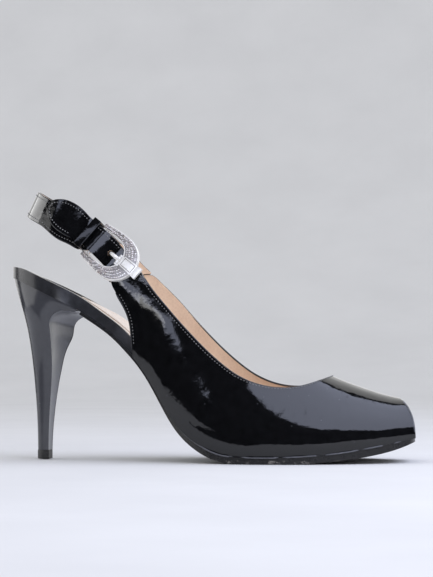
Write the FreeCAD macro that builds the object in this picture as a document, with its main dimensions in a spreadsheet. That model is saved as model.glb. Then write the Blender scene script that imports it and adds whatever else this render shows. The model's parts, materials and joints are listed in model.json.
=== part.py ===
import FreeCAD, Part
import Sketcher
import math
import os

# Slingback peep-toe court shoe, right foot, one side-buckled heel strap.
# Frame: +X towards the toe, +Y towards the inner (medial) side, +Z up, floor at Z = 0, millimetres.

Vec = FreeCAD.Vector
doc = FreeCAD.newDocument("slingback_shoe")

# ---------------------------------------------------------------- driving dimensions
DIMENSIONS = [
    ("upper_leather", 1.2),
    ("upper_lining", 0.9),
    ("strap_leather", 1.0),
    ("strap_lining", 0.9),
    ("heel_strap_width", 13.0),
    ("free_strap_width", 13.0),
    ("layer_spring", 1.1),
    ("layer_board", 1.9),
    ("layer_pad", 1.0),
    ("layer_sock", 0.9),
    ("rand_height", 5.6),
    ("rand_wall", 3.0),
    ("layer_inset", 3.7),
    ("heel_cover_wall", 0.8),
    ("breast_cover_wall", 0.7),
    ("top_lift_height", 4.5),
    ("top_lift_proud", 0.15),
    ("dowel_radius", 1.9),
    ("dowel_length", 52.0),
    ("lift_pin_radius", 1.2),
    ("lift_pin_length", 9.0),
    ("screw_radius", 2.0),
    ("screw_head_radius", 4.0),
    ("screw_length", 17.0),
    ("nail_radius", 0.8),
    ("nail_head_radius", 1.6),
    ("nail_length", 7.0),
    ("rivet_radius", 1.4),
    ("spring_width", 12.0),
    ("hinge_x", -38.8),
    ("hinge_z", 90.8),
    ("hinge_z_medial", 87.9),
    ("hinge_half_span", 27.5),
    ("hinge_disc_radius", 8.2),
    ("hinge_disc_radius_medial", 7.3),
    ("hinge_clearance", 0.35),
    ("frame_thickness", 2.4),
    ("frame_edge_round", 0.6),
    ("bar_at", 1.2),
    ("bar_radius", 0.9),
    ("bar_length", 17.4),
    ("fold_gap", 0.3),
    ("fold_leather", 0.8),
    ("fold_width", 12.4),
    ("keeper_length", 4.3),
    ("keeper_wall", 0.8),
    ("keeper_inner_width", 15.4),
    ("keeper_inner_depth", 6.8),
    ("plate_length", 11.0),
    ("plate_thickness", 1.2),
    ("prong_pivot_at", 16.3),
    ("prong_pivot_height", 1.0),
    ("prong_barrel_radius", 1.1),
    ("prong_barrel_length", 3.4),
    ("prong_pin_radius", 0.5),
    ("prong_hole_radius", 1.5),
    ("crystal_radius", 0.62),
    ("crystal_pitch", 1.36),
    ("crystal_height", 0.5),
]

sheet = doc.addObject("Spreadsheet::Sheet", "dims")
for row, (alias, value) in enumerate(DIMENSIONS, start=1):
    sheet.set("A%d" % row, alias)
    sheet.set("B%d" % row, str(value))
    sheet.setAlias("B%d" % row, alias)
doc.recompute()


def dim(alias):
    return float(sheet.get(alias))


# ---------------------------------------------------------------- side view lines (X, Z)
# Underside of the outsole with its thickness: heel breast, steep waist, flat tread, toe spring.
SOLE_WAIST = [
    (-64.6, 73.8, 1.4),
    (-57.0, 68.5, 1.4),
    (-49.0, 62.3, 1.4),
    (-42.3, 55.5, 1.4),
    (-36.0, 48.3, 1.4),
    (-30.0, 39.8, 1.4),
    (-25.0, 31.4, 1.5),
    (-20.0, 23.0, 1.8),
    (-14.0, 14.8, 2.3),
    (-8.0, 9.2, 2.8),
    (-2.0, 5.2, 3.2),
    (4.5, 2.1, 3.3),
    (10.0, 0.5, 3.3),
    (15.0, 0.0, 3.3),
]
SOLE_FORE = [
    (50.0, 0.0, 3.5),
    (62.0, 0.7, 3.7),
    (73.0, 1.9, 3.9),
    (83.0, 3.6, 4.0),
    (91.0, 5.4, 3.7),
    (98.0, 7.7, 3.0),
    (105.0, 10.9, 1.3),
]
# Heel seat, from the back of the heel to the breast.
SEAT_LINE = [
    (-106.0, 93.3),
    (-99.5, 91.9),
    (-93.5, 89.5),
    (-87.0, 86.6),
    (-79.5, 83.1),
    (-72.0, 79.4),
]

# Plan outline of the sole edge, lateral side from the heel round to the toe, then the medial side.
OUTLINE_LATERAL = [
    (-103.4, 0.0),
    (-101.0, -11.5),
    (-94.6, -19.5),
    (-86.0, -23.9),
    (-76.0, -25.0),
    (-66.0, -23.2),
    (-54.0, -19.8),
    (-42.0, -18.0),
    (-30.0, -18.8),
    (-18.0, -23.6),
    (-6.0, -30.3),
    (6.0, -35.7),
    (18.0, -37.8),
    (32.0, -37.9),
    (46.0, -36.4),
    (60.0, -32.9),
    (74.0, -28.3),
    (86.0, -23.2),
    (95.0, -18.0),
    (100.8, -13.3),
]
OUTLINE_TOE = [
    (102.9, -8.0),
    (102.6, 3.0),
    (101.7, 13.0),
]
OUTLINE_MEDIAL = [
    (99.0, 19.8),
    (92.0, 25.4),
    (82.0, 30.6),
    (70.0, 34.6),
    (56.0, 37.2),
    (42.0, 38.2),
    (28.0, 37.4),
    (15.0, 34.8),
    (2.0, 30.2),
    (-10.0, 24.4),
    (-22.0, 19.8),
    (-35.0, 17.4),
    (-50.0, 18.4),
    (-65.0, 21.7),
    (-78.0, 24.2),
    (-88.0, 23.3),
    (-96.1, 18.6),
    (-101.4, 10.8),
]

# Sections of the upper: X, feather Z, crown Z, crown Y, lateral half widths, medial half widths.
# The four half widths are at the feather line, low wall, wall and shoulder.
LAST_SECTIONS = [
    (-50.0, 64.5, 162.0, 0.0, (20.4, 25.8, 28.6, 26.0), (20.0, 24.8, 27.6, 25.0)),
    (-36.0, 48.5, 150.0, 0.0, (21.3, 25.6, 28.7, 26.2), (20.3, 25.0, 27.9, 25.6)),
    (-24.0, 30.0, 140.0, 0.0, (23.4, 27.8, 29.9, 27.0), (21.9, 26.4, 29.0, 26.4)),
    (-12.0, 13.0, 126.0, 0.0, (27.6, 31.6, 32.2, 28.2), (24.2, 29.2, 31.0, 27.6)),
    (2.0, 4.6, 104.0, 0.0, (33.2, 36.4, 34.6, 28.6), (29.6, 33.3, 33.4, 28.2)),
    (18.0, 2.6, 81.0, 0.0, (37.0, 39.3, 37.0, 28.2), (35.3, 37.8, 36.3, 28.2)),
    (36.0, 2.6, 60.5, 0.6, (37.0, 39.0, 36.8, 26.0), (37.6, 39.3, 37.3, 27.2)),
    (55.0, 3.2, 45.8, 1.8, (33.9, 35.8, 34.2, 24.0), (36.6, 38.4, 36.9, 27.8)),
    (72.0, 5.0, 38.3, 2.8, (28.4, 30.2, 29.2, 20.6), (33.4, 35.1, 34.0, 26.2)),
    (86.0, 7.2, 33.7, 3.3, (22.5, 24.1, 23.5, 16.6), (28.0, 29.6, 28.9, 22.4)),
    (96.0, 9.0, 31.3, 3.5, (16.7, 18.1, 17.7, 12.2), (22.1, 23.5, 23.0, 18.0)),
    (108.0, 11.0, 28.3, 3.5, (9.8, 11.0, 10.8, 7.3), (15.4, 16.6, 16.2, 13.0)),
]
LAST_HEIGHTS = (0.0, 0.14, 0.34, 0.68)

# Edge of the foot opening, from the dog ear down to the throat.
TOPLINE = [
    (-31.65, 94.85),
    (-27.2, 87.6),
    (-20.6, 79.6),
    (-13.4, 71.4),
    (-6.2, 63.6),
    (1.5, 55.9),
    (9.2, 49.1),
    (17.6, 43.1),
    (28.2, 38.6),
    (38.5, 37.0),
    (46.6, 37.6),
    (53.6, 39.7),
    (61.5, 43.0),
]
# The medial side differs only near its dog ear, which leans further back.
TOPLINE_MEDIAL = [
    (-33.4, 92.9),
    (-29.4, 88.9),
    (-22.6, 82.0),
] + TOPLINE[3:]
# Rear edge of the quarter, from the dog ear down to the sole.
QUARTER_REAR = [
    (-46.0, 86.8),
    (-42.4, 80.6),
    (-39.4, 74.9),
    (-37.8, 69.5),
    (-37.3, 63.0),
    (-37.2, 54.0),
    (-37.2, 44.0),
]
QUARTER_REAR_MEDIAL = [
    (-44.0, 82.8),
    (-41.2, 79.2),
    (-38.9, 74.6),
] + QUARTER_REAR[3:]
# Edge of the toe opening, seen from the side.
TOE_RIM = [
    (88.0, 40.0),
    (92.4, 34.6),
    (94.6, 32.2),
    (96.8, 30.3),
    (99.2, 27.5),
    (101.2, 23.8),
    (102.4, 19.2),
    (102.9, 15.0),
    (103.1, 6.0),
]
TOE_RIM_TURN = 4.5

# Heel sections: back X, back Z, front X, front Z, half width, depth of the scooped breast.
HEEL_SECTIONS = [
    (-91.0, 4.5, -84.6, 4.5, 4.1, 0.15),
    (-91.1, 10.0, -84.5, 9.7, 4.3, 0.2),
    (-91.4, 20.0, -84.0, 19.2, 5.0, 0.35),
    (-92.5, 37.0, -82.5, 35.0, 6.8, 0.6),
    (-94.0, 51.5, -81.0, 47.5, 9.5, 1.0),
    (-95.6, 63.0, -79.7, 57.0, 13.6, 1.8),
    (-97.5, 72.5, -78.3, 64.4, 18.0, 2.8),
    (-99.3, 79.2, -77.4, 69.4, 20.8, 3.4),
    (-100.7, 83.8, -74.9, 72.4, 22.2, 3.6),
    (-102.0, 88.2, -70.0, 74.1, 23.2, 3.2),
    (-102.8, 91.2, -64.9, 73.6, 23.9, 2.2),
    (-103.3, 96.6, -64.4, 79.4, 24.3, 2.0),
]
# Skew of the breast face: it looks a little towards the outer side, more so near the seat.
BREAST_SKEW_LOW = 0.03
BREAST_SKEW_HIGH = 0.13

# Centre line of the heel strap, from the buckle bar round the back of the heel to the medial dog ear.
HEEL_STRAP_LINE = [
    (-55.6, -26.8, 111.3),
    (-61.0, -26.3, 115.0),
    (-67.5, -25.2, 118.4),
    (-76.0, -22.8, 122.0),
    (-84.3, -18.2, 126.4),
    (-90.4, -10.5, 129.5),
    (-92.8, 0.0, 130.6),
    (-90.8, 9.8, 128.7),
    (-85.2, 16.4, 125.3),
    (-77.0, 20.2, 120.4),
    (-67.0, 22.2, 114.7),
    (-57.6, 23.8, 107.3),
    (-50.2, 25.2, 99.9),
    (-44.6, 26.2, 93.6),
    (-41.9, 26.7, 91.0),
]

# Buckle frame outline in its own plane: along the strap, across the strap.
FRAME_OUTER = [
    (-1.2, 10.0),
    (5.0, 11.0),
    (11.0, 11.6),
    (17.0, 11.2),
    (21.8, 8.9),
    (25.0, 5.0),
    (26.2, 0.2),
    (25.0, -5.0),
    (21.8, -9.2),
    (17.0, -11.6),
    (11.0, -12.0),
    (5.0, -11.4),
    (-1.2, -10.4),
]
FRAME_INNER = [
    (-1.2, 7.8),
    (4.0, 7.9),
    (8.0, 7.9),
    (11.8, 7.4),
    (14.6, 5.9),
    (16.5, 3.2),
    (17.2, 0.1),
    (16.5, -3.0),
    (14.6, -5.7),
    (11.8, -7.2),
    (8.0, -7.7),
    (4.0, -7.7),
    (-1.2, -7.6),
]


# ---------------------------------------------------------------- small geometry helpers
def unit(vector):
    result = Vec(vector)
    result.normalize()
    return result


def spline_edge(points):
    curve = Part.BSplineCurve()
    curve.interpolate(points)
    return curve.toShape()


def closed_spline_wire(points):
    curve = Part.BSplineCurve()
    curve.interpolate(points, True)
    return Part.Wire([curve.toShape()])


def offset_line(points, distances):
    """Offset a polyline of (a, b) points to its left by one distance per point."""
    result = []
    last = len(points) - 1
    for index, (a, b) in enumerate(points):
        before = points[max(index - 1, 0)]
        after = points[min(index + 1, last)]
        da = after[0] - before[0]
        db = after[1] - before[1]
        length = math.hypot(da, db)
        shift = distances[index]
        result.append((a - db / length * shift, b + da / length * shift))
    return result


def constant(points, value):
    return [value] * len(points)


def side(points):
    """Points of the side view as vectors in the XZ plane."""
    return [Vec(x, 0.0, z) for x, z in points]


def plan(points):
    return [Vec(x, y, 0.0) for x, y in points]


def face_between(lower_edges, upper_points):
    """Face in the XZ plane bounded by lower edges and an upper curve."""
    upper = spline_edge(side(upper_points))
    start = lower_edges[0].valueAt(lower_edges[0].FirstParameter)
    end = lower_edges[-1].valueAt(lower_edges[-1].LastParameter)
    upper_start = side(upper_points)[0]
    upper_end = side(upper_points)[-1]
    edges = list(lower_edges)
    edges.append(Part.makeLine(end, upper_end))
    edges.append(upper)
    edges.append(Part.makeLine(upper_start, start))
    return Part.Face(Part.Wire(Part.__sortEdges__(edges)))


def prism_across(face, half_width=60.0, turn=0.0):
    """Extrude a side view face both ways across the shoe, the direction turned about Z."""
    angle = math.radians(turn)
    direction = Vec(-math.sin(angle), math.cos(angle), 0.0)
    moved = face.copy()
    moved.translate(direction * -half_width)
    return moved.extrude(direction * (2.0 * half_width))


def prism_up(wire, low=-20.0, high=180.0):
    moved = wire.copy()
    moved.translate(Vec(0.0, 0.0, low))
    return Part.Face(moved).extrude(Vec(0.0, 0.0, high - low))


def add_shape(label, shape, placement=None):
    feature = doc.addObject("Part::Feature", label)
    feature.Label = label
    feature.Shape = shape
    if placement is not None:
        feature.Placement = placement
    return feature


def origin_plane(body, role):
    for item in body.Origin.OriginFeatures:
        if item.Role == role:
            return item
    raise ValueError(role)


def new_body(label, placement=None):
    body = doc.addObject("PartDesign::Body", label)
    body.Label = label
    if placement is not None:
        body.Placement = placement
    return body


def new_sketch(body, name, role):
    sketch = body.newObject("Sketcher::SketchObject", name)
    sketch.AttachmentSupport = [(origin_plane(body, role), "")]
    sketch.MapMode = "FlatFace"
    return sketch


def circle_sketch(body, name, role, x, y, radius_expression, offset=0.0):
    sketch = new_sketch(body, name, role)
    sketch.AttachmentOffset = FreeCAD.Placement(Vec(0.0, 0.0, offset), FreeCAD.Rotation())
    centre = Vec(x, y, 0.0)
    index = sketch.addGeometry(Part.Circle(centre, Vec(0.0, 0.0, 1.0), 1.0), False)
    radius = sketch.addConstraint(Sketcher.Constraint("Radius", index, 1.0))
    sketch.addConstraint(Sketcher.Constraint("DistanceX", -1, 1, index, 3, x))
    sketch.addConstraint(Sketcher.Constraint("DistanceY", -1, 1, index, 3, y))
    sketch.setExpression("Constraints[%d]" % radius, radius_expression)
    return sketch


def polygon_sketch(body, name, role, corners, offset=0.0):
    sketch = new_sketch(body, name, role)
    sketch.AttachmentOffset = FreeCAD.Placement(Vec(0.0, 0.0, offset), FreeCAD.Rotation())
    count = len(corners)
    for index in range(count):
        a = Vec(corners[index][0], corners[index][1], 0.0)
        b = Vec(corners[(index + 1) % count][0], corners[(index + 1) % count][1], 0.0)
        sketch.addGeometry(Part.LineSegment(a, b), False)
    return sketch


def pad(body, name, sketch, length_expression, reversed_direction=False):
    feature = body.newObject("PartDesign::Pad", name)
    feature.Profile = sketch
    feature.setExpression("Length", length_expression)
    feature.Reversed = reversed_direction
    body.Tip = feature
    return feature


def pocket(body, name, sketch, length_expression, reversed_direction=False):
    feature = body.newObject("PartDesign::Pocket", name)
    feature.Profile = sketch
    feature.setExpression("Length", length_expression)
    feature.Reversed = reversed_direction
    body.Tip = feature
    return feature


# ---------------------------------------------------------------- sole lines built from the data
def xz(rows):
    return [(row[0], row[1]) for row in rows]


def thickness(rows):
    return [row[2] for row in rows]


SOLE_ALL = SOLE_WAIST + SOLE_FORE
SOLE_TOP = offset_line(xz(SOLE_ALL), thickness(SOLE_ALL))
BASE_LINE = SEAT_LINE + SOLE_TOP
OUTLINE = OUTLINE_LATERAL + OUTLINE_TOE + OUTLINE_MEDIAL


def layer_face(bottom, height, first=-200.0, last=200.0):
    """Side view face of a layer lying a given height above the base line."""
    low = offset_line(BASE_LINE, constant(BASE_LINE, bottom))
    high = offset_line(BASE_LINE, constant(BASE_LINE, bottom + height))
    low_edge = spline_edge(side(low))
    face = face_between([low_edge], high)
    if first > -200.0 or last < 200.0:
        window = Part.makeBox(last - first, 1.0, 400.0, Vec(first, -0.5, -100.0))
        face = face.common(window)
    return face


def inset_outline(distance):
    """Plan outline moved inwards, dropping nothing: the curve is gentle everywhere."""
    closed = [OUTLINE[-1]] + OUTLINE + [OUTLINE[0]]
    moved = offset_line(closed, constant(closed, distance))
    return moved[1:-1]


def layer(bottom, height, inset, first=-200.0, last=200.0):
    face = layer_face(bottom, height, first, last)
    block = prism_across(face)
    return block.common(prism_up(closed_spline_wire(plan(inset_outline(inset)))))


def build_outsole():
    waist = spline_edge(side(xz(SOLE_WAIST)))
    fore = spline_edge(side(xz(SOLE_FORE)))
    tread = Part.makeLine(side(xz(SOLE_WAIST))[-1], side(xz(SOLE_FORE))[0])
    face = face_between([waist, tread, fore], SOLE_TOP)
    outline = prism_up(closed_spline_wire(plan(OUTLINE)))
    return add_shape("outsole", prism_across(face).common(outline))


def toe_cutter():
    rim = spline_edge(side(TOE_RIM))
    corner_low = Vec(130.0, 0.0, TOE_RIM[-1][1])
    corner_high = Vec(130.0, 0.0, TOE_RIM[0][1])
    edges = [
        rim,
        Part.makeLine(side(TOE_RIM)[-1], corner_low),
        Part.makeLine(corner_low, corner_high),
        Part.makeLine(corner_high, side(TOE_RIM)[0]),
    ]
    face = Part.Face(Part.Wire(Part.__sortEdges__(edges)))
    return prism_across(face, 60.0, TOE_RIM_TURN)


def above_base(bottom=0.0):
    """Everything above the sole: a block whose underside follows the base line."""
    line = offset_line(BASE_LINE, constant(BASE_LINE, bottom))
    edge = spline_edge(side(line))
    start = side(line)[0]
    end = side(line)[-1]
    high_start = Vec(start.x, 0.0, 220.0)
    high_end = Vec(end.x, 0.0, 220.0)
    edges = [
        edge,
        Part.makeLine(end, high_end),
        Part.makeLine(high_end, high_start),
        Part.makeLine(high_start, start),
    ]
    return prism_across(Part.Face(Part.Wire(Part.__sortEdges__(edges))), 70.0)


# ---------------------------------------------------------------- sole, insole and sock layers
def build_layers():
    spring = dim("layer_spring")
    board = dim("layer_board")
    cushion = dim("layer_pad")
    sock = dim("layer_sock")
    inset = dim("layer_inset")
    add_shape("bottom_filler", layer(0.1, spring - 0.2, inset + 1.5, 4.0, 96.0))
    board_shape = layer(spring, board, inset, last=99.6).cut(screw_room())
    for solid in [nail_solid(place) for place in seat_nail_places()] + rivet_solids():
        board_shape = board_shape.cut(solid)
    add_shape("insole_board", largest(board_shape))
    pad_shape = layer(spring + board, cushion, inset + 0.4, last=99.0).cut(screw_room())
    for place in seat_nail_places():
        pad_shape = pad_shape.cut(nail_solid(place))
    add_shape("insock_pad", largest(pad_shape))
    add_shape("insock", layer(spring + board + cushion, sock, inset - 0.2, last=100.6))

    strip_outline = Part.makeBox(76.0, dim("spring_width"), 200.0,
                                 Vec(-80.0, -dim("spring_width") / 2.0, -10.0))
    strip = prism_across(layer_face(0.05, spring - 0.1)).common(strip_outline)
    for solid in rivet_solids():
        strip = strip.cut(solid)
    add_shape("shank_spring", strip)

    outer = prism_up(closed_spline_wire(plan(OUTLINE)))
    inner = prism_up(closed_spline_wire(plan(inset_outline(dim("rand_wall")))))
    window = layer_face(0.05, dim("rand_height"), last=-33.0)
    add_shape("seat_rand", prism_across(window).common(outer).cut(inner))


def base_height(x, above=0.0):
    """Height of the base line at a given X, straight between its points."""
    line = offset_line(BASE_LINE, constant(BASE_LINE, above))
    for (xa, za), (xb, zb) in zip(line, line[1:]):
        if xa <= x <= xb:
            return za + (zb - za) * (x - xa) / (xb - xa)
    return line[-1][1]


def build_arch_cookie():
    """Padded rise along the inner edge of the sock."""
    top = dim("layer_spring") + dim("layer_board") + dim("layer_pad") + dim("layer_sock")
    sections = [
        (-72.0, 19.0, 1.5, 0.4),
        (-64.0, 17.4, 5.0, 1.0),
        (-56.0, 15.8, 6.5, 2.4),
        (-49.0, 14.6, 7.0, 3.8),
        (-42.0, 13.8, 7.0, 4.2),
        (-35.0, 13.4, 5.5, 3.2),
        (-29.5, 13.6, 1.5, 0.6),
    ]
    wires = []
    for x, edge_y, width, rise in sections:
        z = base_height(x, top) + 0.1
        corners = [
            Vec(x, edge_y, z),
            Vec(x, edge_y - width, z),
            Vec(x, edge_y - 0.15 * width, z + rise),
        ]
        wires.append(Part.makePolygon(corners + [corners[0]]))
    sock = doc.getObjectsByLabel("insock")[0].Shape
    add_shape("arch_cookie", largest(Part.makeLoft(wires, True, False).cut(sock)))


# ---------------------------------------------------------------- upper
def last_section(row, inset, skirt):
    """Closed section of the last at one station, set in from the outside of the upper."""
    x, feather_z, crown_z, crown_y, lateral, medial = row
    height = crown_z - feather_z
    points = []
    for width, fraction in zip(lateral, LAST_HEIGHTS):
        points.append((-width, feather_z + fraction * height))
    points.append((crown_y * 0.45 - lateral[3] * 0.56, feather_z + 0.915 * height))
    points.append((crown_y, crown_z))
    points.append((crown_y * 0.45 + medial[3] * 0.56, feather_z + 0.915 * height))
    for width, fraction in reversed(list(zip(medial, LAST_HEIGHTS))):
        points.append((width, feather_z + fraction * height))
    moved = offset_line(points, constant(points, -inset))
    arch = spline_edge([Vec(x, y, z) for y, z in moved])
    start = Vec(x, moved[0][0], moved[0][1])
    end = Vec(x, moved[-1][0], moved[-1][1])
    low_start = start - Vec(0.0, 0.0, skirt)
    low_end = end - Vec(0.0, 0.0, skirt)
    edges = [
        arch,
        Part.makeLine(end, low_end),
        Part.makeLine(low_end, low_start),
        Part.makeLine(low_start, start),
    ]
    return Part.Wire(edges)


def last_solid(inset):
    return Part.makeLoft([last_section(row, inset, 4.0) for row in LAST_SECTIONS], True, False)


def upper_window(hinge_z, radius, topline, rear_line, crown_angle, low_y, high_y):
    """Side view region kept for one side of the upper: topline, dog ear disc and rear edge."""
    hinge = Vec(dim("hinge_x"), 0.0, hinge_z)
    top = side(topline)
    rear = side(rear_line)
    ahead = hinge + unit(top[0] - hinge) * radius
    behind = hinge + unit(rear[0] - hinge) * radius
    angle = math.radians(crown_angle)
    crown = hinge + Vec(math.cos(angle), 0.0, math.sin(angle)) * radius
    top[0] = ahead
    rear[0] = behind
    corners = [
        rear[-1],
        Vec(-37.2, 0.0, -20.0),
        Vec(115.0, 0.0, -20.0),
        Vec(115.0, 0.0, 70.0),
        Vec(64.0, 0.0, 70.0),
        top[-1],
    ]
    edges = [
        spline_edge(list(reversed(top))),
        Part.Arc(ahead, crown, behind).toShape(),
        spline_edge(rear),
    ]
    for start, end in zip(corners, corners[1:]):
        edges.append(Part.makeLine(start, end))
    face = Part.Face(Part.Wire(Part.__sortEdges__(edges)))
    face.translate(Vec(0.0, low_y, 0.0))
    return face.extrude(Vec(0.0, high_y - low_y, 0.0))


def both_windows():
    lateral = upper_window(dim("hinge_z"), dim("hinge_disc_radius"), TOPLINE, QUARTER_REAR, 119.0, -70.0, 0.0)
    medial = upper_window(dim("hinge_z_medial"), dim("hinge_disc_radius_medial"), TOPLINE_MEDIAL,
                          QUARTER_REAR_MEDIAL, 135.0, 0.0, 70.0)
    return lateral.fuse(medial)


def build_upper():
    leather = dim("upper_leather")
    lining = dim("upper_lining")
    window = both_windows()
    cutter = toe_cutter()
    floor_block = above_base(0.05)
    outer = last_solid(0.0)
    middle = last_solid(leather)
    inner = last_solid(leather + lining)
    shell = outer.cut(middle).common(window).common(floor_block).cut(cutter)
    inside = middle.cut(inner).common(window).common(floor_block).cut(cutter)
    add_shape("upper", largest(shell.cut(frame_room(FRAME_CLEARANCE))))
    add_shape("upper_lining", largest(inside))


def largest(shape):
    solids = sorted(shape.Solids, key=lambda item: item.Volume)
    return solids[-1]


# ---------------------------------------------------------------- heel
def heel_section(row, wall, front_shift):
    """D-shaped section: rounded back, flat sides, scooped breast."""
    back_x, back_z, front_x, front_z, half, scoop = row
    half = half - wall
    length = front_x - back_x
    run_z = (front_z - back_z) / length

    def at(x, y):
        return Vec(x, y, back_z + (x - back_x) * run_z)

    back = back_x + wall
    front = front_x + front_shift
    span = front - back
    rows = [
        (front, -0.96 * half),
        (front - 0.34 * span, -1.0 * half),
        (back + 0.27 * span, -0.83 * half),
        (back + 0.06 * span, -0.43 * half),
        (back, 0.0),
        (back + 0.06 * span, 0.43 * half),
        (back + 0.27 * span, 0.83 * half),
        (front - 0.34 * span, 1.0 * half),
        (front, 0.96 * half),
    ]
    hull = spline_edge([at(x, y) for x, y in rows])
    breast = Part.Arc(at(front, 0.96 * half), at(front - scoop, 0.0), at(front, -0.96 * half)).toShape()
    return Part.Wire([hull, breast])


def section_plane(row):
    """Function giving points of the inclined plane of one heel section."""
    back_x, back_z, front_x, front_z, half, scoop = row
    run_z = (front_z - back_z) / (front_x - back_x)
    return lambda x, y: Vec(x, y, back_z + (x - back_x) * run_z)


def section_growth(half):
    """0 in the thin stem, 1 in the wide top of the heel."""
    return min(max((half - 4.0) / 14.0, 0.0), 1.0)


def breast_skew(half):
    return BREAST_SKEW_LOW + (BREAST_SKEW_HIGH - BREAST_SKEW_LOW) * section_growth(half)


def heel_hull(wall, extra_rows=()):
    """Back and sides of the heel, running on well past the breast."""
    wires = []
    for row in list(extra_rows) + HEEL_SECTIONS:
        back_x, back_z, front_x, front_z, half, scoop = row
        at = section_plane(row)
        half = half - wall
        back = back_x + wall
        span = front_x - back
        far = front_x + 14.0
        narrow = 0.10 * min(max((half - 18.0) / 5.0, 0.0), 1.0)
        rows = [
            (far, -(0.93 - 2.0 * narrow) * half),
            (front_x, -(0.97 - narrow) * half),
            (front_x - 0.36 * span, -1.0 * half),
            (back + 0.27 * span, -0.83 * half),
            (back + 0.06 * span, -0.43 * half),
            (back, 0.0),
            (back + 0.06 * span, 0.43 * half),
            (back + 0.27 * span, 0.83 * half),
            (front_x - 0.36 * span, 1.0 * half),
            (front_x, (0.97 - narrow) * half),
            (far, (0.93 - 2.0 * narrow) * half),
        ]
        hull = spline_edge([at(x, y) for x, y in rows])
        end = Part.makeLine(at(*rows[-1]), at(*rows[0]))
        wires.append(Part.Wire([hull, end]))
    return Part.makeLoft(wires, True, False)


BREAST_OFFSETS = (1.0, 1.0, 1.0, 1.0, 1.0, 1.0, 1.0, 1.15, 1.6, 2.4, 2.2, 1.0)


def breast_block(depth):
    """Block in front of the scooped breast, pushed a depth into the heel."""
    wires = []
    first = HEEL_SECTIONS[0]
    rows = [(first[0], first[1] - 3.0, first[2], first[3] - 3.0, first[4], first[5])] + HEEL_SECTIONS
    factors = (1.0,) + BREAST_OFFSETS
    for row, factor in zip(rows, factors):
        back_x, back_z, front_x, front_z, half, scoop = row
        at = section_plane(row)
        front = front_x - depth * factor
        reach = half + 1.6
        skew = breast_skew(half) * reach
        corners = [
            at(front + 0.3 + skew, reach),
            at(front_x + 26.0, reach + 4.0),
            at(front_x + 26.0, -reach - 4.0),
            at(front + 0.3 - skew, -reach),
        ]
        arc = Part.Arc(corners[3], at(front - scoop, 0.0), corners[0]).toShape()
        edges = [arc]
        for start, end in zip(corners, corners[1:]):
            edges.append(Part.makeLine(start, end))
        wires.append(Part.Wire(edges))
    return Part.makeLoft(wires, True, False)


def seat_nail_places():
    above = dim("layer_spring") + dim("layer_board") - 0.6
    spots = ((-94.5, 0.0), (-91.0, -10.0), (-91.0, 10.0), (-79.0, -12.5), (-79.0, 12.5))
    return [seat_frame(x, y, above) for x, y in spots]


def nail_solid(place):
    stem = Part.makeCylinder(dim("nail_radius"), dim("nail_length"), Vec(0.0, 0.0, -dim("nail_length")))
    head = Part.makeCylinder(dim("nail_head_radius"), 0.6)
    nail = stem.fuse(head).removeSplitter()
    nail.Placement = place
    return nail


def screw_place():
    return seat_frame(-87.0, 0.0, dim("layer_spring") + dim("layer_board") - 0.9)


def screw_room():
    """Space taken by the heel screw."""
    shank = Part.makeCylinder(dim("screw_radius"), dim("screw_length"), Vec(0.0, 0.0, -dim("screw_length")))
    head = Part.makeCylinder(dim("screw_head_radius"), 0.9)
    room = shank.fuse(head)
    room.Placement = screw_place()
    return room


def build_heel():
    wall = dim("heel_cover_wall")
    seat = above_base(0.0)
    ahead = Part.makeBox(40.0, 120.0, 60.0, Vec(-64.8, -60.0, 40.0))
    outline = prism_up(closed_spline_wire(plan(inset_outline(0.35))))
    core_outline = prism_up(closed_spline_wire(plan(inset_outline(0.35 + wall))))
    first = HEEL_SECTIONS[0]
    low_row = (first[0], first[1] - 3.0, first[2], first[3] - 3.0, first[4], first[5])
    hull = heel_hull(0.0)
    inside = heel_hull(wall, (low_row,))
    face_block = breast_block(0.0)
    deep_block = breast_block(dim("breast_cover_wall"))

    def trimmed(shape):
        return shape.cut(seat).common(outline).cut(ahead)

    cover = trimmed(hull.cut(inside.common(core_outline)).cut(face_block))
    body = trimmed(heel_hull(wall).common(core_outline).cut(face_block))
    dowel_hole = Part.makeCylinder(dim("dowel_radius"), dim("dowel_length"), Vec(-88.0, 0.0, 4.5),
                                   Vec(-0.02, 0.0, 1.0))
    core = body.cut(deep_block).cut(dowel_hole).cut(screw_room())
    for place in seat_nail_places():
        core = core.cut(nail_solid(place))
    add_shape("heel_core", largest(core))
    add_shape("heel_cover", largest(cover))
    add_shape("heel_breast_cover", largest(body.common(deep_block)))

    lift_rows = [
        (-91.0, 0.0, -84.6, 0.0, 4.1, 0.15),
        (-91.0, dim("top_lift_height"), -84.6, dim("top_lift_height"), 4.1, 0.15),
    ]
    proud = dim("top_lift_proud")
    lift = Part.makeLoft([heel_section(row, -proud, proud) for row in lift_rows], True, True)
    pin_hole = Part.makeCylinder(dim("lift_pin_radius"), 3.0, Vec(-88.0, 0.0, 1.6))
    add_shape("top_lift", lift.cut(pin_hole))


def build_heel_hardware():
    tilt = FreeCAD.Rotation(Vec(0.0, 0.0, 1.0), Vec(-0.02, 0.0, 1.0))
    body = new_body("heel_dowel", FreeCAD.Placement(Vec(-88.0, 0.0, 4.55), tilt))
    ring = circle_sketch(body, "dowel_circle", "XY_Plane", 0.0, 0.0, "dims.dowel_radius")
    pad(body, "dowel_pad", ring, "dims.dowel_length - 0.1")
    bore = circle_sketch(body, "dowel_bore", "XY_Plane", 0.0, 0.0, "dims.lift_pin_radius + 0.15")
    pocket(body, "dowel_pocket", bore, "dims.lift_pin_length", True)

    body = new_body("top_lift_pin", FreeCAD.Placement(Vec(-88.0, 0.0, 1.6), FreeCAD.Rotation()))
    ring = circle_sketch(body, "pin_circle", "XY_Plane", 0.0, 0.0, "dims.lift_pin_radius - 0.02")
    pad(body, "pin_pad", ring, "dims.lift_pin_length")


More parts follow.
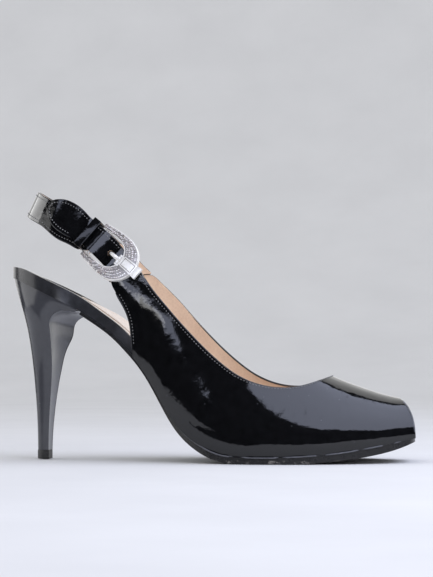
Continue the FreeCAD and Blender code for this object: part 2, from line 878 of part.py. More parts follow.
def seat_frame(x, y, above):
    """Placement standing on the heel seat, local Z normal to the seat."""
    slope = math.atan2(SEAT_LINE[2][1] - SEAT_LINE[1][1], SEAT_LINE[2][0] - SEAT_LINE[1][0])
    normal = Vec(-math.sin(slope), 0.0, math.cos(slope))
    z = base_height(x, 0.0)
    rotation = FreeCAD.Rotation(Vec(0.0, 0.0, 1.0), normal)
    return FreeCAD.Placement(Vec(x, y, z) + normal * above, rotation)


def build_seat_fixings():
    body = new_body("heel_screw", screw_place())
    head = circle_sketch(body, "screw_head", "XY_Plane", 0.0, 0.0, "dims.screw_head_radius")
    pad(body, "screw_head_pad", head, "0.9", False)
    shank = circle_sketch(body, "screw_shank", "XY_Plane", 0.0, 0.0, "dims.screw_radius")
    pad(body, "screw_shank_pad", shank, "dims.screw_length", True)

    add_shape("heel_nails", Part.makeCompound([nail_solid(place) for place in seat_nail_places()]))
    add_shape("shank_rivets", Part.makeCompound(rivet_solids()))


def rivet_solids():
    rivets = []
    line = BASE_LINE
    for x in (-60.0, -22.0):
        index = [k for k in range(len(line) - 1) if line[k][0] <= x <= line[k + 1][0]][0]
        slope = math.atan2(line[index + 1][1] - line[index][1], line[index + 1][0] - line[index][0])
        normal = Vec(-math.sin(slope), 0.0, math.cos(slope))
        base = Vec(x, 0.0, base_height(x, 0.0)) + normal * 0.15
        length = dim("layer_spring") + dim("layer_board") - 0.25
        rivets.append(Part.makeCylinder(dim("rivet_radius"), length, base, normal))
    return rivets


# ---------------------------------------------------------------- straps
FRAME_CLEARANCE = 0.35
BUCKLE_ORIGIN = Vec(-55.0, -27.0, 110.6)
BUCKLE_NORMAL = unit(Vec(-0.05, -0.975, 0.21))
BUCKLE_ALONG = Vec(0.765, -0.14, -0.628)
BUCKLE_ALONG = unit(BUCKLE_ALONG - BUCKLE_NORMAL * BUCKLE_ALONG.dot(BUCKLE_NORMAL))
BUCKLE_ACROSS = unit(BUCKLE_NORMAL.cross(BUCKLE_ALONG))


def buckle_point(along, across, out):
    return BUCKLE_ORIGIN + BUCKLE_ALONG * along + BUCKLE_ACROSS * across + BUCKLE_NORMAL * out


def buckle_placement(along=0.0, across=0.0, out=0.0):
    a = BUCKLE_ALONG
    c = BUCKLE_ACROSS
    n = BUCKLE_NORMAL
    p = buckle_point(along, across, out)
    matrix = FreeCAD.Matrix(a.x, c.x, n.x, p.x, a.y, c.y, n.y, p.y, a.z, c.z, n.z, p.z, 0, 0, 0, 1)
    return FreeCAD.Placement(matrix)


def frame_face(gap=0.0):
    """Flat outline of the horseshoe frame, open at the bar end, with a gap round it if asked."""
    outer = [Vec(a, c, 0.0) for a, c in offset_line(FRAME_OUTER, constant(FRAME_OUTER, gap))]
    inner = [Vec(a, c, 0.0) for a, c in offset_line(FRAME_INNER, constant(FRAME_INNER, -gap))]
    edges = [
        spline_edge(outer),
        Part.makeLine(outer[-1], inner[-1]),
        spline_edge(list(reversed(inner))),
        Part.makeLine(inner[0], outer[0]),
    ]
    return Part.Face(Part.Wire(edges))


def frame_room(gap):
    """Space of the frame with a gap all round, as seen by the strap under it."""
    height = dim("frame_thickness") + 2.0 * gap
    face = frame_face(gap)
    face.translate(Vec(0.0, 0.0, -height / 2.0))
    room = face.extrude(Vec(0.0, 0.0, height))
    room.Placement = buckle_placement()
    return room


def band_frames(points, lean=0.12, first_normal=None, last_normal=None, back_lean=0.36):
    """Tangent, outward normal and across direction at each point of a strap centre line."""
    frames = []
    last = len(points) - 1
    for index, point in enumerate(points):
        tangent = unit(points[min(index + 1, last)] - points[max(index - 1, 0)])
        flat = Vec(tangent.x, tangent.y, 0.0)
        outward = unit(Vec(flat.y, -flat.x, 0.0))
        from_leg = point - Vec(-66.0, 0.0, point.z)
        if outward.dot(from_leg) < 0.0:
            outward = outward * -1.0
        facing_back = max(0.0, -outward.x)
        normal = outward + Vec(0.0, 0.0, lean + back_lean * facing_back ** 2)
        if index == 0 and first_normal is not None:
            normal = first_normal
        if index == last and last_normal is not None:
            normal = last_normal
        normal = unit(normal - tangent * normal.dot(tangent))
        across = unit(tangent.cross(normal))
        if across.z < 0.0:
            across = across * -1.0
        frames.append((point, tangent, normal, across))
    return frames


def band_wire(frame, half_width, low, high, shift=0.0):
    point, tangent, normal, across = frame
    centre = point + across * shift
    corners = [
        centre - across * half_width + normal * low,
        centre + across * half_width + normal * low,
        centre + across * half_width + normal * high,
        centre - across * half_width + normal * high,
    ]
    return Part.makePolygon(corners + [corners[0]])


def band(frames, half_widths, low, high):
    wires = [band_wire(frame, half, low, high) for frame, half in zip(frames, half_widths)]
    return Part.makeLoft(wires, True, False)


def hinge_cutter(extra):
    """Round clearance about the swing axis, one radius at each dog ear."""
    lateral = Vec(dim("hinge_x"), -dim("hinge_half_span"), dim("hinge_z"))
    medial = Vec(dim("hinge_x"), dim("hinge_half_span"), dim("hinge_z_medial"))
    axis = unit(medial - lateral)
    near = Part.makeCylinder(dim("hinge_disc_radius") + extra, 37.0, lateral - axis * 12.0, axis)
    far = Part.makeCylinder(dim("hinge_disc_radius_medial") + extra, 37.0, medial + axis * 12.0, axis * -1.0)
    return [near, far]


def cut_all(shape, tools):
    for tool in tools:
        shape = largest(shape.cut(tool))
    return shape


GLUE_LINE = 0.03


def build_heel_strap():
    points = [Vec(*row) for row in HEEL_STRAP_LINE]
    frames = band_frames(points, 0.12, BUCKLE_NORMAL, Vec(0.0, 1.0, 0.04))
    half = dim("heel_strap_width") / 2.0
    halves = constant(points, half)
    halves[0] = half - 0.4
    halves[-3] = half + 0.2
    halves[-2] = half + 0.6
    halves[-1] = half + 0.8
    leather = dim("strap_leather")
    lining = dim("strap_lining")
    total = leather + lining
    low = -total / 2.0
    cutter = hinge_cutter(dim("hinge_clearance"))
    outer = band(frames, halves, low + lining, low + total)
    inner = band(frames, halves, low, low + lining - GLUE_LINE)
    add_shape("heel_strap", cut_all(outer, cutter))
    add_shape("heel_strap_lining", cut_all(inner, cutter))
    return frames


def free_strap_frames():
    """Free strap: neck by the hinge, under the frame apex, over the bar, along the heel strap."""
    weave = [
        (24.0, -4.6, -3.15, 8.2),
        (20.0, -3.0, -2.75, 7.4),
        (16.0, -1.6, -2.5, 6.7),
        (13.2, -0.8, -2.35, 6.5),
        (10.4, -0.3, -1.1, 6.5),
        (7.4, 0.0, 0.7, 6.5),
        (4.4, 0.2, 2.3, 6.5),
        (1.2, 0.3, 3.15, 6.5),
        (-1.0, 0.4, 2.75, 6.5),
        (-2.6, 0.5, 2.2, 6.5),
    ]
    points = [buckle_point(a, c, n) for a, c, n, half in weave]
    halves = [half for a, c, n, half in weave]
    across_lines = [BUCKLE_ACROSS for row in weave]
    base = band_frames([Vec(*row) for row in HEEL_STRAP_LINE], 0.12, BUCKLE_NORMAL)
    follow = [
        (1.0, 2.05, 0.8, 6.7),
        (1.9, 2.1, 2.1, 7.6),
        (2.5, 2.2, 3.0, 7.7),
        (2.9, 2.35, 3.7, 6.9),
        (3.2, 2.5, 4.1, 5.4),
        (3.45, 2.6, 4.4, 3.4),
        (3.58, 2.65, 4.5, 1.4),
    ]
    for station, out, shift, half in follow:
        index = int(station)
        share = station - index
        point = base[index][0] * (1.0 - share) + base[index + 1][0] * share
        normal = unit(base[index][2] * (1.0 - share) + base[index + 1][2] * share)
        across = unit(base[index][3] * (1.0 - share) + base[index + 1][3] * share)
        points.append(point + normal * out + across * shift)
        halves.append(half)
        across_lines.append(across)
    frames = []
    last = len(points) - 1
    for index, point in enumerate(points):
        tangent = unit(points[min(index + 1, last)] - points[max(index - 1, 0)])
        across = across_lines[index]
        across = unit(across - tangent * across.dot(tangent))
        normal = unit(across.cross(tangent))
        if normal.dot(BUCKLE_NORMAL) < 0.0:
            normal = normal * -1.0
        frames.append((point, tangent, normal, across))
    return frames, halves


def build_free_strap():
    frames, halves = free_strap_frames()
    leather = dim("strap_leather")
    lining = dim("strap_lining") - 0.1
    low = -(leather + lining) / 2.0
    cutter = hinge_cutter(dim("hinge_clearance"))
    hole = Part.makeCylinder(dim("prong_hole_radius"), 8.0, buckle_point(10.2, 0.1, -4.0), BUCKLE_NORMAL)
    heel_strap = doc.getObjectsByLabel("heel_strap")[0].Shape
    tools = cutter + [hole, frame_room(FRAME_CLEARANCE)]
    outer = band(frames, halves, low + lining, low + lining + leather)
    inner = band(frames, halves, low, low + lining - GLUE_LINE)
    add_shape("free_strap", cut_all(outer, tools))
    add_shape("free_strap_lining", cut_all(inner, tools + [heel_strap]))


def build_bar_fold():
    """Leather of the heel strap turned round the buckle bar."""
    inner = dim("bar_radius") + dim("fold_gap")
    outer = inner + dim("fold_leather")
    width = dim("fold_width")
    start = buckle_point(dim("bar_at"), -width / 2.0, 0.0)
    ring = Part.makeCylinder(outer, width, start, BUCKLE_ACROSS)
    hole = Part.makeCylinder(inner, width, start, BUCKLE_ACROSS)
    straps = ("heel_strap", "heel_strap_lining", "free_strap", "free_strap_lining")
    neighbours = [doc.getObjectsByLabel(name)[0].Shape for name in straps]
    add_shape("bar_fold", cut_all(ring.cut(hole), neighbours))


# ---------------------------------------------------------------- buckle
def build_buckle_frame():
    thickness_mm = dim("frame_thickness")
    face = frame_face()
    face.translate(Vec(0.0, 0.0, -thickness_mm / 2.0))
    solid = face.extrude(Vec(0.0, 0.0, thickness_mm))
    top = [edge for edge in solid.Edges if edge.BoundBox.ZMin > thickness_mm / 2.0 - 0.01
           and edge.Length > 20.0]
    solid = solid.makeFillet(dim("frame_edge_round"), top)
    bar_hole = Part.makeCylinder(dim("bar_radius"), 40.0, Vec(dim("bar_at"), -20.0, 0.0), Vec(0.0, 1.0, 0.0))
    solid = solid.cut(bar_hole)
    pivot = dim("prong_pivot_at")
    height = dim("prong_pivot_height")
    gap = dim("prong_barrel_length") / 2.0 + 0.2
    for low in (-gap - 1.0, gap):
        lug = Part.makeBox(2.0, 1.0, 1.4, Vec(pivot - 0.2, low, height - 0.9))
        round_end = Part.makeCylinder(0.9, 1.0, Vec(pivot, low, height), Vec(0.0, 1.0, 0.0))
        solid = solid.fuse(lug).fuse(round_end)
    pin_hole = Part.makeCylinder(dim("prong_pin_radius"), 2.0 * gap + 2.0,
                                 Vec(pivot, -gap - 1.0, height), Vec(0.0, 1.0, 0.0))
    barrel_room = Part.makeCylinder(dim("prong_barrel_radius") + 0.3, 2.0 * gap,
                                    Vec(pivot, -gap, height), Vec(0.0, 1.0, 0.0))
    solid = solid.cut(pin_hole).cut(barrel_room)
    add_shape("buckle_frame", largest(solid), buckle_placement())

    pin = Part.makeCylinder(dim("prong_pin_radius"), 2.0 * gap + 2.0,
                            Vec(pivot, -gap - 1.0, height), Vec(0.0, 1.0, 0.0))
    add_shape("prong_pin", pin, buckle_placement())

    half_bar = dim("bar_length") / 2.0
    turn = FreeCAD.Placement(Vec(dim("bar_at"), -half_bar, 0.0), FreeCAD.Rotation(Vec(1.0, 0.0, 0.0), -90.0))
    body = new_body("buckle_bar", buckle_placement().multiply(turn))
    ring = circle_sketch(body, "bar_circle", "XY_Plane", 0.0, 0.0, "dims.bar_radius")
    pad(body, "bar_pad", ring, "dims.bar_length")


def plate_corners():
    length = dim("plate_length")
    return [(18.2, -1.8), (18.2 + length, -2.4), (18.2 + length, 4.0), (18.2, 3.4)]


def build_plate():
    lift = dim("frame_thickness") / 2.0 + 0.02
    body = new_body("prong_plate", buckle_placement(0.0, 0.0, lift))
    sketch = polygon_sketch(body, "plate_outline", "XY_Plane", plate_corners())
    pad(body, "plate_pad", sketch, "dims.plate_thickness")
    length = dim("plate_length")
    groove = [(26.4, -3.0), (26.9, -3.0), (26.9, 4.6), (26.4, 4.6)]
    cut = polygon_sketch(body, "plate_groove", "XY_Plane", groove, dim("plate_thickness"))
    pocket(body, "plate_groove_cut", cut, "0.35")
    lip_start = 18.2 + length - 1.2
    lip = [(lip_start, -2.3), (18.2 + length, -2.4), (18.2 + length, 4.0), (lip_start, 3.9)]
    edge = polygon_sketch(body, "plate_lip", "XY_Plane", lip)
    pad(body, "plate_lip_pad", edge, "0.9", True)


def build_prong():
    pivot = dim("prong_pivot_at")
    height = dim("prong_pivot_height")
    radius = dim("prong_barrel_radius")
    length = dim("prong_barrel_length")
    barrel = Part.makeCylinder(radius, length, Vec(pivot, -length / 2.0, height), Vec(0.0, 1.0, 0.0))
    spine = [
        (pivot - 0.1, height + 0.2, 0.95),
        (pivot - 1.5, height + 1.25, 1.0),
        (pivot - 3.1, height + 1.55, 0.98),
        (pivot - 4.6, height + 0.85, 0.9),
        (pivot - 5.6, height - 0.35, 0.78),
        (pivot - 6.0, height - 1.5, 0.6),
    ]
    wires = []
    for index, (a, n, r) in enumerate(spine):
        before = spine[max(index - 1, 0)]
        after = spine[min(index + 1, len(spine) - 1)]
        direction = Vec(after[0] - before[0], 0.0, after[1] - before[1])
        wires.append(Part.Wire([Part.makeCircle(r, Vec(a, 0.1, n), direction)]))
    tongue = Part.makeLoft(wires, True, False)
    hole = Part.makeCylinder(dim("prong_pin_radius") + 0.15, length + 1.0,
                             Vec(pivot, -length / 2.0 - 0.5, height), Vec(0.0, 1.0, 0.0))
    add_shape("prong", largest(barrel.fuse(tongue).cut(hole)), buckle_placement())


def build_crystals():
    """Small cut stones set in rows round the frame, kept clear of the plate."""
    inner_curve = Part.BSplineCurve()
    inner_curve.interpolate([Vec(a, c, 0.0) for a, c in FRAME_INNER])
    outer_curve = Part.BSplineCurve()
    outer_curve.interpolate([Vec(a, c, 0.0) for a, c in FRAME_OUTER])
    face_height = dim("frame_thickness") / 2.0
    plate = plate_corners()
    stones = []
    for row, across in enumerate((0.23, 0.43, 0.62, 0.80)):
        path = []
        for step in range(401):
            share = step / 400.0
            a = inner_curve.value(inner_curve.FirstParameter + share
                                  * (inner_curve.LastParameter - inner_curve.FirstParameter))
            b = outer_curve.value(outer_curve.FirstParameter + share
                                  * (outer_curve.LastParameter - outer_curve.FirstParameter))
            path.append((a + (b - a) * across, (b - a).Length))
        travelled = 0.5 * dim("crystal_pitch") * (1 + row % 2)
        walked = 0.0
        for (start, gap_a), (end, gap_b) in zip(path, path[1:]):
            walked += (end - start).Length
            if walked < travelled:
                continue
            travelled += dim("crystal_pitch")
            if gap_a < 5.6 and row in (1,):
                continue
            if gap_a < 3.6 and row in (2,):
                continue
            near_plate = 17.0 < end.x and plate[1][1] - 0.9 < end.y < plate[2][1] + 0.9
            near_pivot = end.x > 13.5 and abs(end.y) < 3.6 and across < 0.3
            if near_plate or near_pivot or end.x < -0.4:
                continue
            stones.append(Part.makeCone(dim("crystal_radius"), 0.42 * dim("crystal_radius"),
                                        dim("crystal_height"), Vec(end.x, end.y, face_height + 0.005)))
    spread = []
    for stone in stones:
        centre = stone.BoundBox.Center
        clear = all((centre - other.BoundBox.Center).Length > 2.02 * dim("crystal_radius") for other in spread)
        if clear:
            spread.append(stone)
    add_shape("frame_crystals", Part.makeCompound(spread), buckle_placement())


def build_keeper():
    wall = dim("keeper_wall")
    width = dim("keeper_inner_width")
    depth = dim("keeper_inner_depth")
    length = dim("keeper_length")
    middle_out = 1.75
    turn = FreeCAD.Placement(Vec(0.0, 0.0, 0.0), FreeCAD.Rotation(Vec(0.0, 1.0, 0.0), 90.0))
    place = buckle_placement(-2.2 - length, 0.2, middle_out).multiply(turn)
    body = new_body("keeper_loop", place)
    outer = [
        (-depth / 2.0 - wall, -width / 2.0 - wall),
        (depth / 2.0 + wall, -width / 2.0 - wall),
        (depth / 2.0 + wall, width / 2.0 + wall),
        (-depth / 2.0 - wall, width / 2.0 + wall),
    ]
    inner = [
        (-depth / 2.0, -width / 2.0),
        (depth / 2.0, -width / 2.0),
        (depth / 2.0, width / 2.0),
        (-depth / 2.0, width / 2.0),
    ]
    pad(body, "keeper_pad", polygon_sketch(body, "keeper_outer", "XY_Plane", outer), "dims.keeper_length")
    hole = polygon_sketch(body, "keeper_inner", "XY_Plane", inner)
    pocket(body, "keeper_pocket", hole, "dims.keeper_length + 1", True)


# ---------------------------------------------------------------- build, check and write
build_outsole()
build_layers()
build_arch_cookie()
build_upper()
build_heel()
build_heel_hardware()
build_seat_fixings()
build_heel_strap()
build_free_strap()
build_bar_fold()
build_buckle_frame()
build_plate()
build_prong()
build_crystals()
build_keeper()
doc.recompute()

NODES = [
    "outsole", "bottom_filler", "insole_board", "insock_pad", "insock", "arch_cookie", "shank_spring",
    "shank_rivets", "seat_rand", "upper", "upper_lining", "heel_core", "heel_cover",
    "heel_breast_cover", "top_lift", "heel_dowel", "top_lift_pin", "heel_screw", "heel_nails",
    "heel_strap", "heel_strap_lining", "free_strap", "free_strap_lining", "bar_fold",
    "buckle_frame", "buckle_bar", "prong_pin", "prong_plate", "frame_crystals", "prong", "keeper_loop",
]

for item in doc.Objects:
    for state in item.State:
        if state in ("Invalid", "Error"):
            raise RuntimeError("%s is %s" % (item.Label, state))

os.makedirs("parts", exist_ok=True)
for name in NODES:
    item = doc.getObjectsByLabel(name)[0]
    shape = item.Shape
    if shape.isNull() or not shape.isValid():
        raise RuntimeError("%s has no valid shape" % name)
    box = shape.BoundBox
    print("%-20s solids %3d  vol %9.1f  X %7.1f %7.1f  Y %6.1f %6.1f  Z %6.1f %6.1f" % (
        name, len(shape.Solids), shape.Volume, box.XMin, box.XMax, box.YMin, box.YMax, box.ZMin, box.ZMax))
    shape.exportStep("parts/%s.step" % name)
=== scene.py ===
import json
import math
import random

import bmesh
import bpy
import numpy as np
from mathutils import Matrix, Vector
from mathutils.bvhtree import BVHTree


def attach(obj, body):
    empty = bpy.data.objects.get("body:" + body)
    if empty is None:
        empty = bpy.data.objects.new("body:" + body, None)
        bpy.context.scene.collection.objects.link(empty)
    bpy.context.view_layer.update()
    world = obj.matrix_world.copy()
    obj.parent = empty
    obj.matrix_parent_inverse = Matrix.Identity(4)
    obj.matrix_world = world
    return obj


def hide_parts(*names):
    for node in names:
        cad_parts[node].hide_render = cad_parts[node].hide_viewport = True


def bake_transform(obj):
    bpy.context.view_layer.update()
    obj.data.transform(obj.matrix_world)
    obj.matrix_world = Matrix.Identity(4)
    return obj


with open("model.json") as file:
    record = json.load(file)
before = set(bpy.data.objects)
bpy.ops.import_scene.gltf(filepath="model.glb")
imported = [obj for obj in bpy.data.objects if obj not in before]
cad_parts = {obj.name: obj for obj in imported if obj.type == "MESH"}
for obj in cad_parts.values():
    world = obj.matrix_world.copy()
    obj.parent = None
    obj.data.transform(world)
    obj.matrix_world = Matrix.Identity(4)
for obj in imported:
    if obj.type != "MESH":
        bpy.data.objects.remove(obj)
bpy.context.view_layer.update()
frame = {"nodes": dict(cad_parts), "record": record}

NODES = frame["nodes"]
MM = 0.001
RANDOM = random.Random(11)
THREAD_STEP = 0.2 * MM


# ------------------------------------------------------------------ materials
def new_material(name):
    material = bpy.data.materials.new(name)
    material.use_nodes = True
    tree = material.node_tree
    shader = tree.nodes["Principled BSDF"]
    return material, tree, shader


def set_sockets(shader, **values):
    for socket, value in values.items():
        shader.inputs[socket.replace("_", " ")].default_value = value


def add_node(tree, kind, **settings):
    node = tree.nodes.new(kind)
    for key, value in settings.items():
        setattr(node, key, value)
    return node


def object_coordinates(tree, stretch=(1.0, 1.0, 1.0)):
    where = add_node(tree, "ShaderNodeTexCoord")
    mapping = add_node(tree, "ShaderNodeMapping")
    mapping.inputs["Scale"].default_value = stretch
    tree.links.new(where.outputs["Object"], mapping.inputs["Vector"])
    return mapping.outputs["Vector"]


def noise(tree, vector, scale, detail=3.0, roughness=0.55):
    node = add_node(tree, "ShaderNodeTexNoise")
    node.inputs["Scale"].default_value = scale
    node.inputs["Detail"].default_value = detail
    node.inputs["Roughness"].default_value = roughness
    tree.links.new(vector, node.inputs["Vector"])
    return node.outputs["Fac"]


def cells(tree, vector, scale, feature="F1", output="Distance"):
    node = add_node(tree, "ShaderNodeTexVoronoi", feature=feature)
    node.inputs["Scale"].default_value = scale
    tree.links.new(vector, node.inputs["Vector"])
    return node.outputs[output]


def ramp(tree, value, stops):
    node = add_node(tree, "ShaderNodeValToRGB")
    elements = node.color_ramp.elements
    while len(elements) < len(stops):
        elements.new(0.5)
    for element, (place, colour) in zip(elements, stops):
        element.position = place
        element.color = (*colour, 1.0) if len(colour) == 3 else colour
    tree.links.new(value, node.inputs["Fac"])
    return node.outputs["Color"]


def arithmetic(tree, operation, first, second):
    node = add_node(tree, "ShaderNodeMath", operation=operation)
    for socket, value in zip(node.inputs, (first, second)):
        if isinstance(value, (int, float)):
            socket.default_value = value
        else:
            tree.links.new(value, socket)
    return node.outputs[0]


def map_range(tree, value, low, high):
    node = add_node(tree, "ShaderNodeMapRange")
    node.inputs["To Min"].default_value = low
    node.inputs["To Max"].default_value = high
    tree.links.new(value, node.inputs["Value"])
    return node.outputs["Result"]


def bumps(tree, shader, layers):
    """Chain of bump layers: (height socket, strength, distance in metres)."""
    normal = None
    for height, strength, distance in layers:
        node = add_node(tree, "ShaderNodeBump")
        node.inputs["Strength"].default_value = strength
        node.inputs["Distance"].default_value = distance
        tree.links.new(height, node.inputs["Height"])
        if normal is not None:
            tree.links.new(normal, node.inputs["Normal"])
        normal = node.outputs["Normal"]
    tree.links.new(normal, shader.inputs["Normal"])


PATENT_BLACK = (0.0035, 0.0036, 0.0042)


def patent_material(name, wrinkle=1.0, tone=1.0, gloss=0.035, mottle=1.8):
    """Patent leather: gloss over faint wrinkles, with dust specks; tone lightens the black."""
    material, tree, shader = new_material(name)
    where = object_coordinates(tree)
    broad = noise(tree, where, 70.0, 2.0)
    creases = noise(tree, where, 260.0, 4.0, 0.6)
    pores = noise(tree, where, 1500.0, 2.0)
    specks = cells(tree, where, 420.0)
    speck_choice = cells(tree, where, 420.0, output="Color")
    chosen = arithmetic(tree, "GREATER_THAN", speck_choice, 0.76)
    near = arithmetic(tree, "LESS_THAN", specks, 0.085)
    dust = arithmetic(tree, "MULTIPLY", chosen, near)
    dark = tuple(channel * tone for channel in PATENT_BLACK)
    light = tuple(channel * tone * mottle for channel in PATENT_BLACK)
    base = ramp(tree, creases, [(0.3, dark), (0.7, light)])
    mix = add_node(tree, "ShaderNodeMix", data_type="RGBA")
    tree.links.new(dust, mix.inputs["Factor"])
    tree.links.new(base, mix.inputs["A"])
    mix.inputs["B"].default_value = (0.12, 0.125, 0.14, 1.0)
    tree.links.new(mix.outputs["Result"], shader.inputs["Base Color"])
    smooth_part = map_range(tree, creases, gloss, gloss + 0.05)
    rough = arithmetic(tree, "ADD", smooth_part, arithmetic(tree, "MULTIPLY", dust, 0.45))
    tree.links.new(rough, shader.inputs["Roughness"])
    set_sockets(shader, IOR=1.56)
    bumps(tree, shader, [
        (broad, 0.20 * wrinkle, 0.0014),
        (creases, 0.13 * wrinkle, 0.0005),
        (pores, 0.05, 0.0001),
    ])
    return material


def leather_material(name, dark, light, grain=900.0, rough=0.55, wear=0.25):
    """Matt lining or sock leather with pores, soft creases and uneven colour."""
    material, tree, shader = new_material(name)
    where = object_coordinates(tree)
    patches = noise(tree, where, 55.0, 4.0, 0.6)
    pores = cells(tree, where, grain)
    fine = noise(tree, where, grain * 1.7, 2.0)
    mixed = arithmetic(tree, "ADD", arithmetic(tree, "MULTIPLY", patches, 1.0 - wear),
                       arithmetic(tree, "MULTIPLY", pores, wear))
    colour = ramp(tree, mixed, [(0.25, dark), (0.75, light)])
    tree.links.new(colour, shader.inputs["Base Color"])
    tree.links.new(map_range(tree, fine, rough - 0.08, rough + 0.12), shader.inputs["Roughness"])
    set_sockets(shader, Sheen_Weight=0.15, Sheen_Roughness=0.4)
    bumps(tree, shader, [(patches, 0.15, 0.0008), (pores, 0.25, 0.00015), (fine, 0.15, 0.0001)])
    return material


def sole_material(name):
    """Black dyed leather sole, polished, scuffed where it meets the ground."""
    material, tree, shader = new_material(name)
    where = object_coordinates(tree)
    fibres = noise(tree, object_coordinates(tree, (0.25, 1.0, 1.0)), 700.0, 5.0, 0.65)
    scuffs = noise(tree, where, 240.0, 6.0, 0.75)
    position = add_node(tree, "ShaderNodeSeparateXYZ")
    tree.links.new(where, position.inputs["Vector"])
    low = arithmetic(tree, "LESS_THAN", position.outputs["Z"], 0.0016)
    worn = arithmetic(tree, "MULTIPLY", low, arithmetic(tree, "GREATER_THAN", scuffs, 0.56))
    base = ramp(tree, fibres, [(0.3, (0.010, 0.010, 0.011)), (0.75, (0.022, 0.021, 0.022))])
    mix = add_node(tree, "ShaderNodeMix", data_type="RGBA")
    tree.links.new(worn, mix.inputs["Factor"])
    tree.links.new(base, mix.inputs["A"])
    mix.inputs["B"].default_value = (0.16, 0.15, 0.14, 1.0)
    tree.links.new(mix.outputs["Result"], shader.inputs["Base Color"])
    tree.links.new(map_range(tree, scuffs, 0.16, 0.42), shader.inputs["Roughness"])
    bumps(tree, shader, [(fibres, 0.25, 0.0002), (scuffs, 0.15, 0.0003)])
    return material


def metal_material(name, colour, rough, scratch=0.3, metallic=1.0):
    """Polished metal with hairline scratches and faint smudges."""
    material, tree, shader = new_material(name)
    along = object_coordinates(tree, (1.0, 1.0, 9.0))
    hairlines = noise(tree, along, 1800.0, 3.0)
    smudges = noise(tree, object_coordinates(tree), 320.0, 3.0)
    tint = ramp(tree, smudges, [(0.2, tuple(0.86 * c for c in colour)), (0.8, colour)])
    tree.links.new(tint, shader.inputs["Base Color"])
    tree.links.new(map_range(tree, smudges, rough, rough + 0.12), shader.inputs["Roughness"])
    set_sockets(shader, Metallic=metallic)
    bumps(tree, shader, [(hairlines, scratch, 0.00004), (smudges, 0.1, 0.0001)])
    return material


def crystal_material(name):
    """Foil-backed cut stones: mostly clear and silver, some pink and violet, with dark grey and near-white
    stones as painted sparkle.
    """
    material, tree, shader = new_material(name)
    where = object_coordinates(tree)
    pick = cells(tree, where, 900.0, output="Color")
    split = add_node(tree, "ShaderNodeSeparateColor")
    tree.links.new(pick, split.inputs["Color"])
    # pink and violet tints are the stones' own; the dark grey and near-white stones are painted glints and
    # shade standing for sparkle
    colour = ramp(tree, split.outputs["Red"], [
        (0.00, (0.98, 0.97, 0.95)), (0.20, (0.28, 0.25, 0.26)), (0.36, (0.88, 0.80, 0.79)),
        (0.50, (0.40, 0.36, 0.39)), (0.66, (0.99, 0.97, 0.95)), (0.84, (0.46, 0.38, 0.36)),
        (1.0, (0.96, 0.93, 0.91))])
    tree.links.new(colour, shader.inputs["Base Color"])
    set_sockets(shader, Metallic=0.25, Roughness=0.10, IOR=1.9, Coat_Weight=1.0, Coat_Roughness=0.03)
    bumps(tree, shader, [(noise(tree, where, 2400.0, 1.0), 0.25, 0.00008)])
    return material


def fibre_material(name, dark, light, scale, rough=0.85):
    """Board, cork, foam and moulded plastic inside the shoe."""
    material, tree, shader = new_material(name)
    where = object_coordinates(tree)
    flecks = cells(tree, where, scale)
    fuzz = noise(tree, where, scale * 0.6, 5.0, 0.7)
    both = arithmetic(tree, "ADD", arithmetic(tree, "MULTIPLY", flecks, 0.5),
                      arithmetic(tree, "MULTIPLY", fuzz, 0.5))
    tree.links.new(ramp(tree, both, [(0.2, dark), (0.7, light)]), shader.inputs["Base Color"])
    tree.links.new(map_range(tree, fuzz, rough - 0.1, rough + 0.1), shader.inputs["Roughness"])
    bumps(tree, shader, [(flecks, 0.3, 0.0002), (fuzz, 0.2, 0.0002)])
    return material


MATERIALS = {
    "patent_leather": patent_material("patent_black"),
    "tan_lining": leather_material("lining_tan", (0.70, 0.48, 0.34), (0.88, 0.66, 0.49)),
    "cream_leather": leather_material("sock_cream", (0.66, 0.57, 0.47), (0.82, 0.75, 0.66), 1100.0, 0.45),
    "sole_leather": sole_material("sole_black"),
    "fibre_board": fibre_material("insole_fibre", (0.30, 0.20, 0.12), (0.55, 0.42, 0.28), 900.0),
    "foam": fibre_material("foam_white", (0.62, 0.58, 0.50), (0.85, 0.82, 0.74), 1400.0),
    "cork": fibre_material("cork_fill", (0.22, 0.13, 0.07), (0.62, 0.45, 0.28), 600.0),
    "spring_steel": metal_material("steel_plain", (0.55, 0.55, 0.57), 0.28),
    "heel_plastic": fibre_material("heel_plastic", (0.014, 0.014, 0.015), (0.03, 0.03, 0.032), 300.0, 0.4),
    "lift_rubber": fibre_material("lift_rubber", (0.012, 0.012, 0.012), (0.035, 0.035, 0.036), 1500.0, 0.5),
    "buckle_metal": metal_material("buckle_silver", (0.98, 0.96, 0.93), 0.18, 0.3, 0.20),
    "crystal": crystal_material("cut_stones_painted_sparkle"),
}
# painted shade: dark patent for the disc that hides the tan lining behind the prong hole
HOLE_SHADE_PAINT = patent_material("hole_shade_paint", 0.3, 1.6, 0.12)
# painted shade: brown for the shadow lines in the sock's creases round the arch cushion
CREASE_SHADE_BROWN = leather_material("crease_shade_brown", (0.26, 0.17, 0.11), (0.42, 0.29, 0.20), 1500.0, 0.5)
BED_METAL = metal_material("bed_silver", (0.40, 0.38, 0.37), 0.30, 0.3, 0.5)
# heel cover: the black patent lightened 15 times, painted light standing for the grey reflections on the
# heel
HEEL_PATENT_PAINTED_LIGHT = patent_material("heel_patent_painted_light", 0.25, 15.0, 0.16, 1.15)
# heel breast: the black patent lightened 42 times, painted light standing for the grey reflection on the
# breast
BREAST_PATENT_PAINTED_LIGHT = patent_material("breast_patent_painted_light", 0.25, 42.0, 0.26, 1.15)
# folded edges and rand roll: the black patent lightened 5 times, a painted highlight on the folds
FOLD_PATENT_LIGHTENED = patent_material("fold_patent_lightened", 0.3, 5.0, 0.20)
